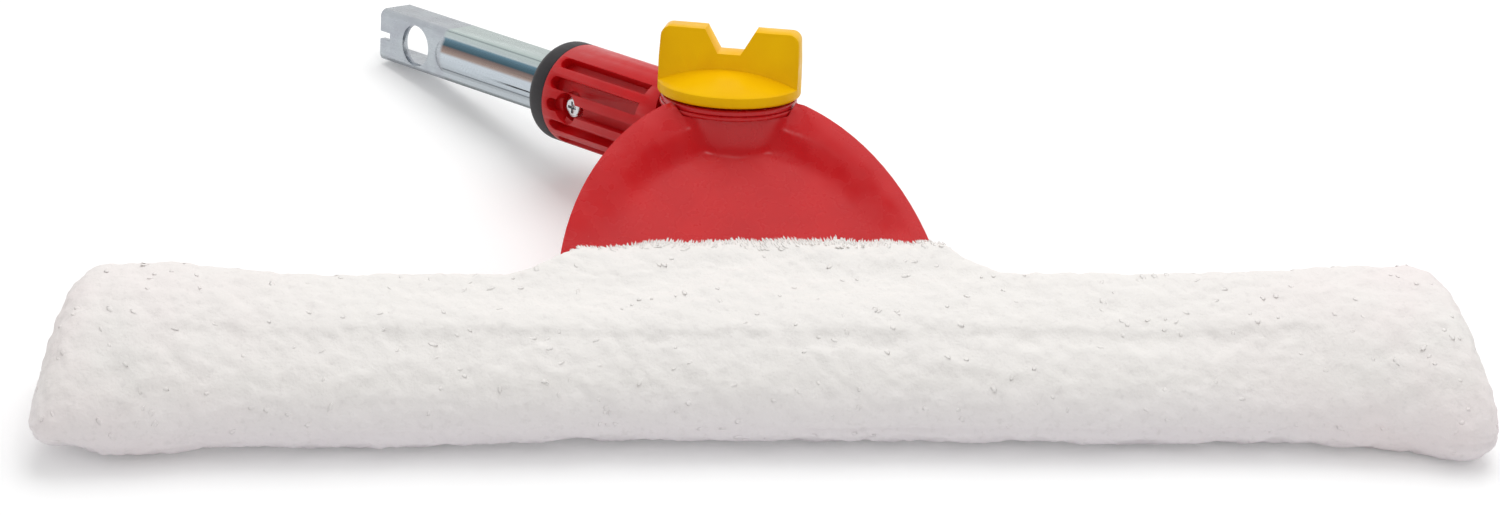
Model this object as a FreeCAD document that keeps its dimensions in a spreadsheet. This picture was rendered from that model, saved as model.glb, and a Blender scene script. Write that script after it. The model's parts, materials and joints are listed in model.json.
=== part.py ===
import FreeCAD, Part
import math
import os
import Sketcher

os.makedirs("parts", exist_ok=True)
doc = FreeCAD.newDocument("window_strip_washer")
Vector = FreeCAD.Vector

# Driving sizes, in millimetres and degrees
# Head sizes run along the bar, up the plate and out of the plate, from the bar's middle.
# Swivel sizes run up the swivel axis, from the handle's centre line.
# Handle sizes run out along the handle, from the swivel axis.
SIZES = [
    ("head_tilt", 22, "slope of the bar and plate when the washer lies on the floor"),
    ("hub_lean", 35.8, "angle between the swivel axis and a line square to the plate"),
    ("hub_reach", 79, "bar middle to swivel centre, up the plate"),
    ("hub_drop", 10.6, "swivel centre below the plate's level"),
    ("swing", 33, "handle turned left from straight back, as photographed"),
    ("wing_turn", 17, "knob wing turned from the bar's direction, as photographed"),
    ("sleeve_overhang", 26, "fleece sleeve beyond each bar cap, at its front edge"),
    ("sleeve_end_slant", 14, "how far each sleeve end draws in, front to back"),
    ("sleeve_depth", 52, "fleece sleeve, front to back"),
    ("sleeve_thickness", 28, "fleece sleeve, through the pile"),
    ("sleeve_end_round", 4, "rounding of the sewn ends"),
    ("sleeve_flat", 0.5, "how deep the pile is pressed flat on the floor"),
    ("hump_foot", 10, "where the pile starts to climb the plate"),
    ("hump_top", 35.5, "edge of the pile on the plate"),
    ("hump_foot_width", 124, "climbing pile, at its foot"),
    ("hump_foot_thickness", 20, "climbing pile, at its foot"),
    ("hump_top_width", 103, "climbing pile, at its edge"),
    ("lip_pile", 4.5, "pile over each face of the plate, at the edge"),
    ("fabric_room", 0.4, "room between the sleeve and the carrier inside it"),
    ("bar_length", 304, "plastic bar, without its caps"),
    ("bar_depth", 34, "bar, front to back"),
    ("bar_thickness", 14, "bar, top to bottom"),
    ("bar_wall", 2.2, "wall of the hollow bar"),
    ("cap_flange", 3, "end cap, outside the bar"),
    ("cap_plug", 12, "end cap, inside the bar"),
    ("cap_room", 0.1, "room round the cap's plug"),
    ("closure_width", 26, "hook and loop strips, across the sleeve"),
    ("closure_thickness", 1.4, "each strip"),
    ("closure_gap", 1, "strips to the bar cap, and to the sleeve's edge"),
    ("closure_room", 0.05, "room over each strip"),
    ("plate_foot", 15, "where the plate's arch starts"),
    ("plate_reach", 68.5, "rise of the plate's arch"),
    ("plate_width", 99, "span of the plate's arch"),
    ("plate_thickness", 3.5, "plate"),
    ("plate_level", 1, "plate's top face above the bar's middle"),
    ("rim_start", 36, "where the plate's rim starts to rise"),
    ("rim_rise", 4.8, "rise of the rim at the arch's crown"),
    ("panel_centre", 35.5, "centre of the sunk round panel"),
    ("panel_radius", 30, "floor of the sunk panel"),
    ("panel_band", 9, "width of the soft slope round the panel"),
    ("neck_blend", 4, "softness of the corner between plate and hub"),
    ("relief_row", 1.52, "points that shape the plate, apart along the tool"),
    ("relief_column", 2.6, "points that shape the plate, apart across the tool"),
    ("eye_width", 30, "handle's eye under the hub"),
    ("eye_below", 9, "eye's underside below the handle's centre line"),
    ("eye_above", 4.6, "eye's top above the handle's centre line"),
    ("eye_room", 0.7, "room round the eye under the hub"),
    ("friction_width", 28, "friction washer"),
    ("friction_thickness", 1.2, "friction washer"),
    ("stack_room", 0.1, "room between the friction washer and the hub"),
    ("hub_width", 34.2, "neck of the hub"),
    ("hub_height", 4.4, "neck of the hub"),
    ("lip_width", 35.7, "lip round the hub's top"),
    ("lip_height", 1.2, "lip round the hub's top"),
    ("lip_room", 0.35, "room round the lip, and round the knob"),
    ("edge_round", 0.45, "rounded edges of lip and collar"),
    ("collar_width", 35.2, "collar washer on the hub"),
    ("collar_height", 1.5, "collar washer on the hub"),
    ("washer_room", 0.05, "room between the collar and the knob's washer"),
    ("washer_width", 18, "steel washer under the knob"),
    ("washer_thickness", 1.6, "steel washer under the knob"),
    ("knob_gap", 0.7, "collar to the knob's rim"),
    ("knob_width", 37, "knob's round base"),
    ("knob_rim", 2.8, "height of the base at its rim"),
    ("knob_dome", 4, "rise of the domed base"),
    ("knob_height", 16.9, "knob, rim to wing tips"),
    ("knob_edge", 0.8, "rounding of the knob's lower edge"),
    ("knob_room", 0.1, "room round the washer in the knob"),
    ("wing_width", 36.8, "wing at its foot"),
    ("wing_top_width", 35.6, "wing at its tips"),
    ("wing_thickness", 8, "wing at its foot"),
    ("wing_top_thickness", 6.4, "wing at its tips"),
    ("wing_round", 2.5, "rounding of the wing's outer corners"),
    ("notch_width", 13, "finger notch at the top"),
    ("notch_floor", 6, "finger notch at its floor"),
    ("notch_depth", 6.2, "finger notch"),
    ("insert_width", 10, "threaded insert in the knob"),
    ("insert_height", 4.8, "threaded insert in the knob"),
    ("bolt_width", 6, "swivel bolt"),
    ("bolt_room", 0.05, "room round the bolt"),
    ("bolt_tip_room", 0.3, "bolt tip to the end of the insert's hole"),
    ("head_across", 10, "bolt head across its flats"),
    ("head_height", 4, "bolt head"),
    ("bolt_washer_width", 12, "washer under the bolt head"),
    ("bolt_washer_thickness", 1.2, "washer under the bolt head"),
    ("spring_washer_width", 11.4, "split spring washer"),
    ("spring_washer_thickness", 1.6, "split spring washer"),
    ("spring_washer_split", 1.2, "gap of the split washer"),
    ("head_sunk", 0.2, "bolt head below the eye's underside"),
    ("head_room", 0.5, "room round the bolt's washer"),
    ("body_start", 9, "near end of the handle's body"),
    ("body_end", 59, "far end of the ribbed body"),
    ("body_width", 27, "ribbed body"),
    ("spigot_width", 22, "spigot that carries the end ring"),
    ("spigot_length", 4.8, "spigot that carries the end ring"),
    ("slot_start", 22, "near end of the grip slots"),
    ("slot_length", 35, "grip slots"),
    ("slot_width", 3.4, "grip slots"),
    ("slot_depth", 2.8, "grip slots"),
    ("slot_pitch", 25.7, "angle from slot to slot"),
    ("ring_length", 7, "grey end ring"),
    ("ring_round", 3, "rounding of the end ring"),
    ("ring_room", 0.05, "room round the spigot"),
    ("shank_start", 26.4, "shank's inner end"),
    ("shank_end", 139.7, "shank's tip"),
    ("shank_height", 14.5, "channel, along the swivel axis"),
    ("shank_depth", 10, "channel, across the handle"),
    ("shank_sheet", 1.8, "steel sheet"),
    ("shank_bend", 2, "outside radius of the bends"),
    ("shank_room", 0.1, "room round the shank in the body"),
    ("lock_hole", 11.4, "lock hole for the pole's button"),
    ("lock_from_tip", 15.6, "lock hole to the tip"),
    ("tip_slot_length", 4.2, "slot in the tip"),
    ("tip_slot_width", 2.2, "slot in the tip"),
    ("bead_width", 9, "pressed stiffening bead"),
    ("bead_height", 1.4, "pressed stiffening bead"),
    ("bead_from_tip", 24.4, "bead's end to the tip"),
    ("screw_place", 49.4, "shank screw from the swivel axis"),
    ("screw_width", 3, "shank screw"),
    ("screw_room", 0.1, "room round the shank screw"),
    ("screw_head_width", 5.6, "shank screw's pan head"),
    ("screw_head_height", 2, "shank screw's pan head"),
    ("screw_head_round", 0.8, "rounding of the pan head"),
    ("screw_seat", 9, "head's seat from the handle's centre line"),
    ("screw_tail", 11.6, "screw's tip from the handle's centre line"),
    ("cross_length", 3.2, "cross recess"),
    ("cross_width", 0.7, "cross recess"),
    ("cross_depth", 1.1, "cross recess"),
    ("keyhole_width", 8.4, "round pocket round the screw's head"),
    ("nut_across", 5.5, "shank nut across its flats"),
    ("nut_height", 2.4, "shank nut"),
    ("nut_room", 0.1, "room round the nut"),
    ("overrun", 2, "how far a cutting tool runs past its face"),
]

# Sizes worked out from the driving sizes
WORKED_OUT = [
    ("swivel_lean", "=hub_lean - head_tilt"),
    ("half_depth", "=sleeve_depth / 2"),
    ("half_pile", "=sleeve_thickness / 2"),
    ("tilt_sin", "=sin(head_tilt * 1deg)"),
    ("tilt_cos", "=cos(head_tilt * 1deg)"),
    ("lean_sin", "=sin(swivel_lean * 1deg)"),
    ("lean_cos", "=cos(swivel_lean * 1deg)"),
    ("swing_sin", "=sin(swing * 1deg)"),
    ("swing_cos", "=cos(swing * 1deg)"),
    ("head_z", "=sqrt((half_depth * tilt_sin)^2 + (half_pile * tilt_cos)^2) - sleeve_flat"),
    ("front_y", "=-sqrt((half_depth * tilt_cos)^2 + (half_pile * tilt_sin)^2)"),
    ("hub_y", "=hub_reach * tilt_cos + hub_drop * tilt_sin"),
    ("hub_z", "=hub_reach * tilt_sin - hub_drop * tilt_cos"),
    ("tip_run", "=shank_end * swing_cos + shank_depth / 2 * swing_sin"),
    ("back_y", "=hub_y + tip_run * lean_cos + shank_height / 2 * lean_sin"),
    ("head_y", "=-(front_y + back_y) / 2"),
    ("swivel_y", "=head_y + hub_y"),
    ("swivel_z", "=head_z + hub_z"),
    ("hub_underside", "=eye_above + friction_thickness + stack_room"),
    ("hub_top", "=hub_underside + hub_height"),
    ("lip_top", "=hub_top + lip_height"),
    ("collar_top", "=lip_top + collar_height"),
    ("washer_foot", "=collar_top + washer_room"),
    ("knob_foot", "=collar_top + knob_gap"),
    ("knob_tip", "=knob_foot + knob_height"),
    ("recess_top", "=washer_foot + washer_thickness"),
    ("insert_top", "=recess_top + insert_height"),
    ("dome_radius", "=((knob_width / 2)^2 + knob_dome^2) / (2 * knob_dome)"),
    ("dome_top", "=knob_foot + knob_rim + knob_dome"),
    ("bolt_radius", "=bolt_width / 2"),
    ("bolt_hole_radius", "=bolt_radius + bolt_room"),
    ("bolt_head_foot", "=head_sunk - eye_below"),
    ("bolt_head_top", "=bolt_head_foot + head_height"),
    ("spring_top", "=bolt_head_top + spring_washer_thickness"),
    ("eye_pocket_top", "=spring_top + bolt_washer_thickness"),
    ("slot_floor", "=body_width / 2 - slot_depth"),
    ("bead_radius", "=((bead_width / 2)^2 + bead_height^2) / (2 * bead_height)"),
    ("web_face", "=shank_depth / 2"),
    ("bead_axis", "=web_face + bead_height - bead_radius"),
    ("bead_end", "=shank_end - bead_from_tip - bead_width / 2"),
    ("cap_end", "=bar_length / 2 + cap_flange"),
    ("cavity_end", "=cap_end + fabric_room"),
    ("sleeve_front_length", "=2 * (cap_end + sleeve_overhang)"),
    ("sleeve_back_length", "=sleeve_front_length - 2 * sleeve_end_slant"),
    ("closure_start", "=cap_end + closure_gap"),
    ("closure_length", "=sleeve_back_length / 2 - closure_gap - closure_start"),
    ("wing_draft", "=(wing_thickness - wing_top_thickness) / 2 / (knob_height - knob_rim)"),
    ("wing_foot_half", "=wing_thickness / 2 + wing_draft * (knob_foot + knob_rim)"),
]

SLOTS_EACH_SIDE = 5
HEX_SIDES = 6

sheet = doc.addObject("Spreadsheet::Sheet", "sizes")
for row, (alias, value, note) in enumerate(SIZES, start=1):
    sheet.set("A%d" % row, note)
    sheet.set("B%d" % row, str(value))
    sheet.setAlias("B%d" % row, alias)
doc.recompute()
for row, (alias, formula) in enumerate(WORKED_OUT, start=len(SIZES) + 1):
    sheet.set("A%d" % row, alias.replace("_", " "))
    sheet.set("B%d" % row, formula)
    sheet.setAlias("B%d" % row, alias)
doc.recompute()

# Directions, as expressions
NO_TURN = "rotation(vector(0; 0; 1); 0)"
ALONG_X = "rotation(vector(0; 1; 0); 90)"
ALONG_Y = "rotation(vector(1; 0; 0); -90)"
ACROSS_BAR = "rotation(vector(1; 1; 1); 120)"
PLATE_UP = "rotation(vector(0; 0; 1); 90)"


def place(x="0", y="0", z="0", turn=NO_TURN):
    return "placement(vector(%s; %s; %s); %s)" % (x, y, z, turn)


NO_MOVE = place()

# The four frames that the pieces are built in
LEAN = "rotation(vector(1; 0; 0); -sizes.swivel_lean)"
SWIVEL = "vector(0; sizes.swivel_y; sizes.swivel_z)"
HEAD_FRAME = place("0", "sizes.head_y", "sizes.head_z", "rotation(vector(1; 0; 0); sizes.head_tilt)")
SWIVEL_FRAME = "placement(%s; %s)" % (SWIVEL, LEAN)
HANDLE_FRAME = "placement(%s; %s * rotation(vector(0; 0; 1); 90 + sizes.swing))" % (SWIVEL, LEAN)
KNOB_FRAME = "placement(%s; %s * rotation(vector(0; 0; 1); -sizes.wing_turn))" % (SWIVEL, LEAN)
HUB_IN_HEAD = place("0", "sizes.hub_reach", "-sizes.hub_drop", "rotation(vector(1; 0; 0); -sizes.hub_lean)")
FLOOR_IN_HEAD = place(turn="rotation(vector(1; 0; 0); -sizes.head_tilt)")


# Small helpers that make a feature and tie its sizes to the sheet
def bind(feature, **expressions):
    for name, text in expressions.items():
        feature.setExpression(name, text)
    return feature


def box(name, length, width, height, where):
    feature = doc.addObject("Part::Box", name)
    return bind(feature, Length=length, Width=width, Height=height, Placement=where)


def cylinder(name, radius, height, where):
    feature = doc.addObject("Part::Cylinder", name)
    return bind(feature, Radius=radius, Height=height, Placement=where)


def hexagon(name, across, height, where):
    feature = doc.addObject("Part::Prism", name)
    feature.Polygon = HEX_SIDES
    return bind(feature, Circumradius="%s / 2 / cos(30deg)" % across, Height=height, Placement=where)


def wedge(name, foot, top, foot_x, top_x, foot_z, top_z):
    """A block between two rectangles, at the heights foot and top up the plate."""
    feature = doc.addObject("Part::Wedge", name)
    bind(feature, Ymin=foot, Ymax=top)
    bind(feature, Xmin="-" + foot_x, Xmax=foot_x, X2min="-" + top_x, X2max=top_x)
    return bind(feature, Zmin=foot_z[0], Zmax=foot_z[1], Z2min=top_z[0], Z2max=top_z[1])


def oval_bar(name, depth, thickness, length):
    """A bar of oval section along X, about the bar's middle."""
    section = doc.addObject("Part::Ellipse", name + "_section")
    bind(section, MajorRadius="(%s) / 2" % depth, MinorRadius="(%s) / 2" % thickness)
    bind(section, Placement=place(turn=ACROSS_BAR))
    feature = doc.addObject("Part::Extrusion", name)
    feature.Base = section
    feature.DirMode = "Normal"
    feature.Solid = True
    feature.Symmetric = True
    return bind(feature, LengthFwd=length)


def cut(name, base, *tools):
    feature = doc.addObject("Part::Cut", name)
    feature.Base = base
    feature.Tool = tools[0] if len(tools) == 1 else fuse(name + "_tools", *tools)
    return feature


def fuse(name, *shapes):
    feature = doc.addObject("Part::MultiFuse", name)
    feature.Shapes = list(shapes)
    return feature


def common(name, *shapes):
    feature = doc.addObject("Part::MultiCommon", name)
    feature.Shapes = list(shapes)
    return feature


def rounded(name, base, radius, is_wanted):
    """Base with the edges that is_wanted picks rounded to radius."""
    doc.recompute()
    edges = base.Shape.Edges
    picked = [number for number, edge in enumerate(edges, start=1) if is_wanted(edge)]
    feature = doc.addObject("Part::Fillet", name)
    feature.Base = base
    feature.Edges = [(number, radius, radius) for number in picked]
    return feature


def is_circle(edge):
    return len(edge.Vertexes) == 1


def disc(name, width, bore, foot, height, edge=None):
    """A round washer with its axis on the swivel axis."""
    plate = cylinder(name + "_plate", "%s / 2" % width, height, place(z=foot))
    if edge is not None:
        plate = rounded(name + "_edges", plate, edge, is_circle)
    hole = cylinder(name + "_hole", bore, "%s + 2 * sizes.overrun" % height,
                    place(z="%s - sizes.overrun" % foot))
    return cut(name, plate, hole)


def outline(name, points):
    """A closed sketch whose corners are tied to the sheet."""
    sketch = doc.addObject("Sketcher::SketchObject", name)
    corners = [Vector(float(sheet.evalExpression(x)), float(sheet.evalExpression(y)), 0)
               for x, y in points]
    for number, corner in enumerate(corners):
        sketch.addGeometry(Part.LineSegment(corner, corners[(number + 1) % len(corners)]))
    for number, (x, y) in enumerate(points):
        following = (number + 1) % len(points)
        sketch.addConstraint(Sketcher.Constraint("Coincident", number, 2, following, 1))
        across = sketch.addConstraint(
            Sketcher.Constraint("DistanceX", -1, 1, number, 1, corners[number].x))
        up = sketch.addConstraint(
            Sketcher.Constraint("DistanceY", -1, 1, number, 1, corners[number].y))
        sketch.setExpression("Constraints[%d]" % across, x)
        sketch.setExpression("Constraints[%d]" % up, y)
    return sketch


nodes = []


def finish(feature, label, frame):
    """Name a finished piece and put it in its place on the floor."""
    feature.Label = label
    feature.setExpression("Placement", frame)
    nodes.append(feature)
    return feature


# Carrier: hollow bar, arched plate with its sunk panel, and the hub, in one moulding
RIM_POWER = 1.25


def eased(share):
    """Smooth step from 0 to 1."""
    share = min(1, max(0, share))
    return share * share * (3 - 2 * share)


def blended_max(first, second, blend):
    """The larger of two heights, with a soft corner where they are closer than blend."""
    near = max(0, 1 - abs(first - second) / blend)
    return max(first, second) + near * near * blend / 4


def plate_height(x, y):
    """Top face of the plate: flat at the bar, then a rim that climbs to the hub round the panel."""
    climb = max(0, (y - sheet.rim_start) / (sheet.plate_foot + sheet.plate_reach - sheet.rim_start))
    from_panel = math.hypot(x, y - sheet.panel_centre)
    band = eased((from_panel - sheet.panel_radius) / sheet.panel_band)
    rim = sheet.plate_level + sheet.rim_rise * climb ** RIM_POWER * band
    lean = math.radians(sheet.hub_lean)
    bulge = math.sqrt(max(0, (sheet.hub_width / 2) ** 2 - x ** 2))
    neck_front = ((y - sheet.hub_reach) * math.cos(lean) + bulge) / math.sin(lean) - sheet.hub_drop
    return blended_max(rim, min(neck_front, rim + sheet.hub_height), sheet.neck_blend)


def spread(first, last, pitch):
    """Even steps from first to last, no wider than pitch."""
    steps = math.ceil((last - first) / pitch)
    return [first + (last - first) * number / steps for number in range(steps + 1)]


def plate_sheet():
    """A sheet of even thickness under the top face, a little wider than the arch."""
    side = sheet.plate_width / 2 + sheet.overrun
    near = sheet.plate_foot - sheet.overrun
    far = sheet.plate_foot + sheet.plate_reach + sheet.overrun
    points = [[Vector(x, y, plate_height(x, y)) for y in spread(near, far, sheet.relief_row)]
              for x in spread(-side, side, sheet.relief_column)]
    surface = Part.BSplineSurface()
    surface.interpolate(points)
    return surface.toShape().extrude(Vector(0, 0, -sheet.plate_thickness))


formed_sheet = doc.addObject("Part::Feature", "formed_sheet")
formed_sheet.Shape = plate_sheet()
arch_curve = doc.addObject("Part::Ellipse", "arch_curve")
bind(arch_curve, MajorRadius="sizes.plate_reach", MinorRadius="sizes.plate_width / 2",
     Placement=place("0", "sizes.plate_foot", "-sizes.plate_width", PLATE_UP))
arch_column = doc.addObject("Part::Extrusion", "arch_column")
arch_column.Base = arch_curve
arch_column.DirMode = "Normal"
arch_column.Solid = True
bind(arch_column, LengthFwd="2 * sizes.plate_width")
upper_half = box("upper_half", "2 * sizes.plate_width", "sizes.plate_width", "2 * sizes.plate_width",
                 place("-sizes.plate_width", "sizes.plate_foot", "-sizes.plate_width"))
plate = common("plate", formed_sheet, arch_column, upper_half)

eye_clearance = cylinder(
    "eye_clearance", "sizes.eye_width / 2 + sizes.eye_room", "sizes.hub_underside + sizes.eye_width",
    HUB_IN_HEAD + " * " + place(z="-sizes.eye_width"))
lip_clearance = cylinder(
    "lip_clearance", "sizes.lip_width / 2 + sizes.lip_room", "sizes.knob_height",
    HUB_IN_HEAD + " * " + place(z="sizes.hub_top"))
knob_clearance = cylinder(
    "knob_clearance", "sizes.knob_width / 2 + sizes.lip_room", "sizes.knob_height",
    HUB_IN_HEAD + " * " + place(z="sizes.collar_top"))
arch_plate = cut("arch_plate", plate, eye_clearance, lip_clearance, knob_clearance)

bar_blank = oval_bar("bar_blank", "sizes.bar_depth", "sizes.bar_thickness", "sizes.bar_length")
bar_hollow = oval_bar("bar_hollow", "sizes.bar_depth - 2 * sizes.bar_wall",
                      "sizes.bar_thickness - 2 * sizes.bar_wall", "sizes.bar_length + 2 * sizes.overrun")
neck = cylinder("hub_neck", "sizes.hub_width / 2", "sizes.hub_height",
                HUB_IN_HEAD + " * " + place(z="sizes.hub_underside"))
lip_disc = cylinder("hub_lip_disc", "sizes.lip_width / 2", "sizes.lip_height",
                    HUB_IN_HEAD + " * " + place(z="sizes.hub_top"))
lip = rounded("hub_lip", lip_disc, sheet.edge_round, is_circle)
bolt_bore = cylinder("hub_bore", "sizes.bolt_hole_radius", "sizes.lip_top",
                     HUB_IN_HEAD + " * " + place(z="sizes.overrun"))
moulding = fuse("carrier_blank", bar_blank, arch_plate, neck, lip)
finish(cut("carrier", moulding, bar_hollow, bolt_bore), "carrier", HEAD_FRAME)


# End caps that close the hollow bar
def bar_cap(label, side):
    flange = oval_bar(label + "_flange_bar", "sizes.bar_depth", "sizes.bar_thickness", "sizes.cap_flange")
    plug = oval_bar(label + "_plug_bar", "sizes.bar_depth - 2 * sizes.bar_wall - 2 * sizes.cap_room",
                    "sizes.bar_thickness - 2 * sizes.bar_wall - 2 * sizes.cap_room", "sizes.cap_plug")
    flange.setExpression("Placement", place("%s(sizes.bar_length + sizes.cap_flange) / 2" % side))
    plug.setExpression("Placement", place("%s(sizes.bar_length - sizes.cap_plug) / 2" % side))
    finish(fuse(label, flange, plug), label, HEAD_FRAME)


bar_cap("bar_cap_left", "-")
bar_cap("bar_cap_right", "")

# Fleece sleeve: soft, hollow, open where the plate comes out and where its end flap closes
fleece_bar = oval_bar("fleece_bar", "sizes.sleeve_depth", "sizes.sleeve_thickness", "sizes.sleeve_front_length")
fleece_plan = wedge("fleece_plan", "-sizes.half_depth", "sizes.half_depth",
                    "(sizes.sleeve_front_length / 2)", "(sizes.sleeve_back_length / 2)",
                    ("-sizes.sleeve_thickness", "sizes.sleeve_thickness"),
                    ("-sizes.sleeve_thickness", "sizes.sleeve_thickness"))
fleece_blank = common("fleece_blank", fleece_bar, fleece_plan)


def is_end_edge(edge):
    return edge.BoundBox.XLength < edge.BoundBox.YLength


fleece_body = rounded("fleece_body", fleece_blank, sheet.sleeve_end_round, is_end_edge)
middle = "sizes.plate_level - sizes.plate_thickness / 2"
edge_pile = "(sizes.plate_thickness / 2 + sizes.fabric_room + sizes.lip_pile)"
hump = wedge("fleece_hump", "sizes.hump_foot", "sizes.hump_top",
             "(sizes.hump_foot_width / 2)", "(sizes.hump_top_width / 2)",
             ("%s - sizes.hump_foot_thickness / 2" % middle, "%s + sizes.hump_foot_thickness / 2" % middle),
             ("%s - %s" % (middle, edge_pile), "%s + %s" % (middle, edge_pile)))
fleece_solid = fuse("fleece_solid", fleece_body, hump)
bar_cavity = oval_bar("bar_cavity", "sizes.bar_depth + 2 * sizes.fabric_room",
                      "sizes.bar_thickness + 2 * sizes.fabric_room", "2 * sizes.cavity_end")
plate_mouth = box("plate_mouth", "sizes.plate_width + 2 * sizes.fabric_room", "sizes.hump_top",
                  "sizes.plate_thickness + 2 * sizes.fabric_room",
                  place("-sizes.plate_width / 2 - sizes.fabric_room", "sizes.overrun",
                        "sizes.plate_level - sizes.plate_thickness - sizes.fabric_room"))
flap_mouth = box("flap_mouth", "sizes.sleeve_front_length / 2", "sizes.closure_width + 2 * sizes.fabric_room",
                 "2 * (sizes.closure_thickness + sizes.closure_room)",
                 place("sizes.cap_end", "-sizes.closure_width / 2 - sizes.fabric_room",
                       "-sizes.closure_thickness - sizes.closure_room"))
floor_block = box("floor_block", "2 * sizes.sleeve_front_length", "2 * sizes.sleeve_depth", "sizes.sleeve_depth",
                  FLOOR_IN_HEAD + " * " + place("-sizes.sleeve_front_length", "-sizes.sleeve_depth",
                                                "-sizes.head_z - sizes.sleeve_depth"))
finish(cut("sleeve", fleece_solid, bar_cavity, plate_mouth, flap_mouth, floor_block), "sleeve", HEAD_FRAME)


# Hook and loop strips that close the sleeve's end flap
def closure(label, foot):
    corner = HEAD_FRAME + " * " + place("sizes.closure_start", "-sizes.closure_width / 2", foot)
    strip = box(label, "sizes.closure_length", "sizes.closure_width", "sizes.closure_thickness", corner)
    finish(strip, label, corner)


closure("closure_hook_strip", "0")
closure("closure_loop_strip", "-sizes.closure_thickness")

# Stack on the swivel axis, from the bolt head up to the knob
hex_head = hexagon("bolt_hex", "sizes.head_across", "sizes.head_height", place(z="sizes.bolt_head_foot"))
stem = cylinder("bolt_stem", "sizes.bolt_radius",
                "sizes.insert_top - sizes.bolt_tip_room - sizes.bolt_head_foot",
                place(z="sizes.bolt_head_foot"))
finish(fuse("swivel_bolt", hex_head, stem), "swivel_bolt", HANDLE_FRAME)

split_ring = disc("split_ring", "sizes.spring_washer_width", "sizes.bolt_hole_radius",
                  "sizes.bolt_head_top", "sizes.spring_washer_thickness")
split = box("spring_washer_gap", "sizes.spring_washer_width", "sizes.spring_washer_split",
            "sizes.spring_washer_width",
            place("0", "-sizes.spring_washer_split / 2", "sizes.bolt_head_foot"))
finish(cut("bolt_spring_washer", split_ring, split), "bolt_spring_washer", HANDLE_FRAME)
finish(disc("bolt_washer", "sizes.bolt_washer_width", "sizes.bolt_hole_radius",
            "sizes.spring_top", "sizes.bolt_washer_thickness"), "bolt_washer", HANDLE_FRAME)
finish(disc("friction_washer", "sizes.friction_width", "sizes.bolt_hole_radius",
            "sizes.eye_above", "sizes.friction_thickness"), "friction_washer", HANDLE_FRAME)
finish(disc("collar_washer", "sizes.collar_width", "sizes.bolt_hole_radius",
            "sizes.lip_top", "sizes.collar_height", sheet.edge_round), "collar_washer", SWIVEL_FRAME)
finish(disc("knob_washer", "sizes.washer_width", "sizes.bolt_hole_radius",
            "sizes.washer_foot", "sizes.washer_thickness"), "knob_washer", SWIVEL_FRAME)
finish(disc("knob_insert", "sizes.insert_width", "sizes.bolt_hole_radius",
            "sizes.recess_top", "sizes.insert_height"), "knob_insert", KNOB_FRAME)

# Knob: domed base and a wing with a finger notch
base_blank = cylinder("knob_base_blank", "sizes.knob_width / 2", "sizes.knob_height", place(z="sizes.knob_foot"))
dome = doc.addObject("Part::Sphere", "knob_dome_ball")
bind(dome, Radius="sizes.dome_radius", Placement=place(z="sizes.dome_top - sizes.dome_radius"))
base_cap = common("knob_base_cap", base_blank, dome)


def is_lowest(edge):
    return edge.BoundBox.ZMax < sheet.knob_foot + sheet.washer_room


knob_base = rounded("knob_base", base_cap, sheet.knob_edge, is_lowest)
wing_points = [
    ("-sizes.wing_width / 2", "sizes.knob_foot + sizes.knob_rim"),
    ("sizes.wing_width / 2", "sizes.knob_foot + sizes.knob_rim"),
    ("sizes.wing_top_width / 2", "sizes.knob_tip"),
    ("sizes.notch_width / 2", "sizes.knob_tip"),
    ("sizes.notch_floor / 2", "sizes.knob_tip - sizes.notch_depth"),
    ("-sizes.notch_floor / 2", "sizes.knob_tip - sizes.notch_depth"),
    ("-sizes.notch_width / 2", "sizes.knob_tip"),
    ("-sizes.wing_top_width / 2", "sizes.knob_tip"),
]
wing_sketch = outline("wing_outline", wing_points)
wing_sketch.setExpression("Placement", place(turn="rotation(vector(1; 0; 0); 90)"))
wing_blank = doc.addObject("Part::Extrusion", "wing_blank")
wing_blank.Base = wing_sketch
wing_blank.DirMode = "Normal"
wing_blank.Solid = True
wing_blank.Symmetric = True
bind(wing_blank, LengthFwd="sizes.wing_thickness")


def is_outer_corner(edge):
    box_of_edge = edge.BoundBox
    return box_of_edge.ZMin > sheet.knob_tip - sheet.overrun and \
        abs(box_of_edge.Center.x) > sheet.notch_width and box_of_edge.XLength < sheet.washer_room


wing_profile = rounded("wing_profile", wing_blank, sheet.wing_round, is_outer_corner)
taper = doc.addObject("Part::Wedge", "wing_taper")
bind(taper, Ymin="0", Ymax="sizes.knob_tip", Xmin="-sizes.knob_width", Xmax="sizes.knob_width")
bind(taper, X2min="-sizes.knob_width", X2max="sizes.knob_width")
bind(taper, Zmin="-sizes.wing_foot_half", Zmax="sizes.wing_foot_half")
bind(taper, Z2min="-sizes.wing_top_thickness / 2", Z2max="sizes.wing_top_thickness / 2")
bind(taper, Placement=place(turn="rotation(vector(1; 0; 0); 90)"))
wing_barrel = cylinder("wing_barrel", "sizes.knob_width / 2", "sizes.knob_tip", NO_MOVE)
wing = common("wing", wing_profile, taper, wing_barrel)
knob_blank = fuse("knob_blank", knob_base, wing)
washer_recess = cylinder("washer_recess", "sizes.washer_width / 2 + sizes.knob_room",
                         "sizes.recess_top - sizes.knob_foot + sizes.overrun",
                         place(z="sizes.knob_foot - sizes.overrun"))
insert_pocket = cylinder("insert_pocket", "sizes.insert_width / 2 + sizes.bolt_room",
                         "sizes.insert_height + sizes.overrun", place(z="sizes.recess_top - sizes.overrun"))
finish(cut("knob", knob_blank, washer_recess, insert_pocket), "knob", KNOB_FRAME)

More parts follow.
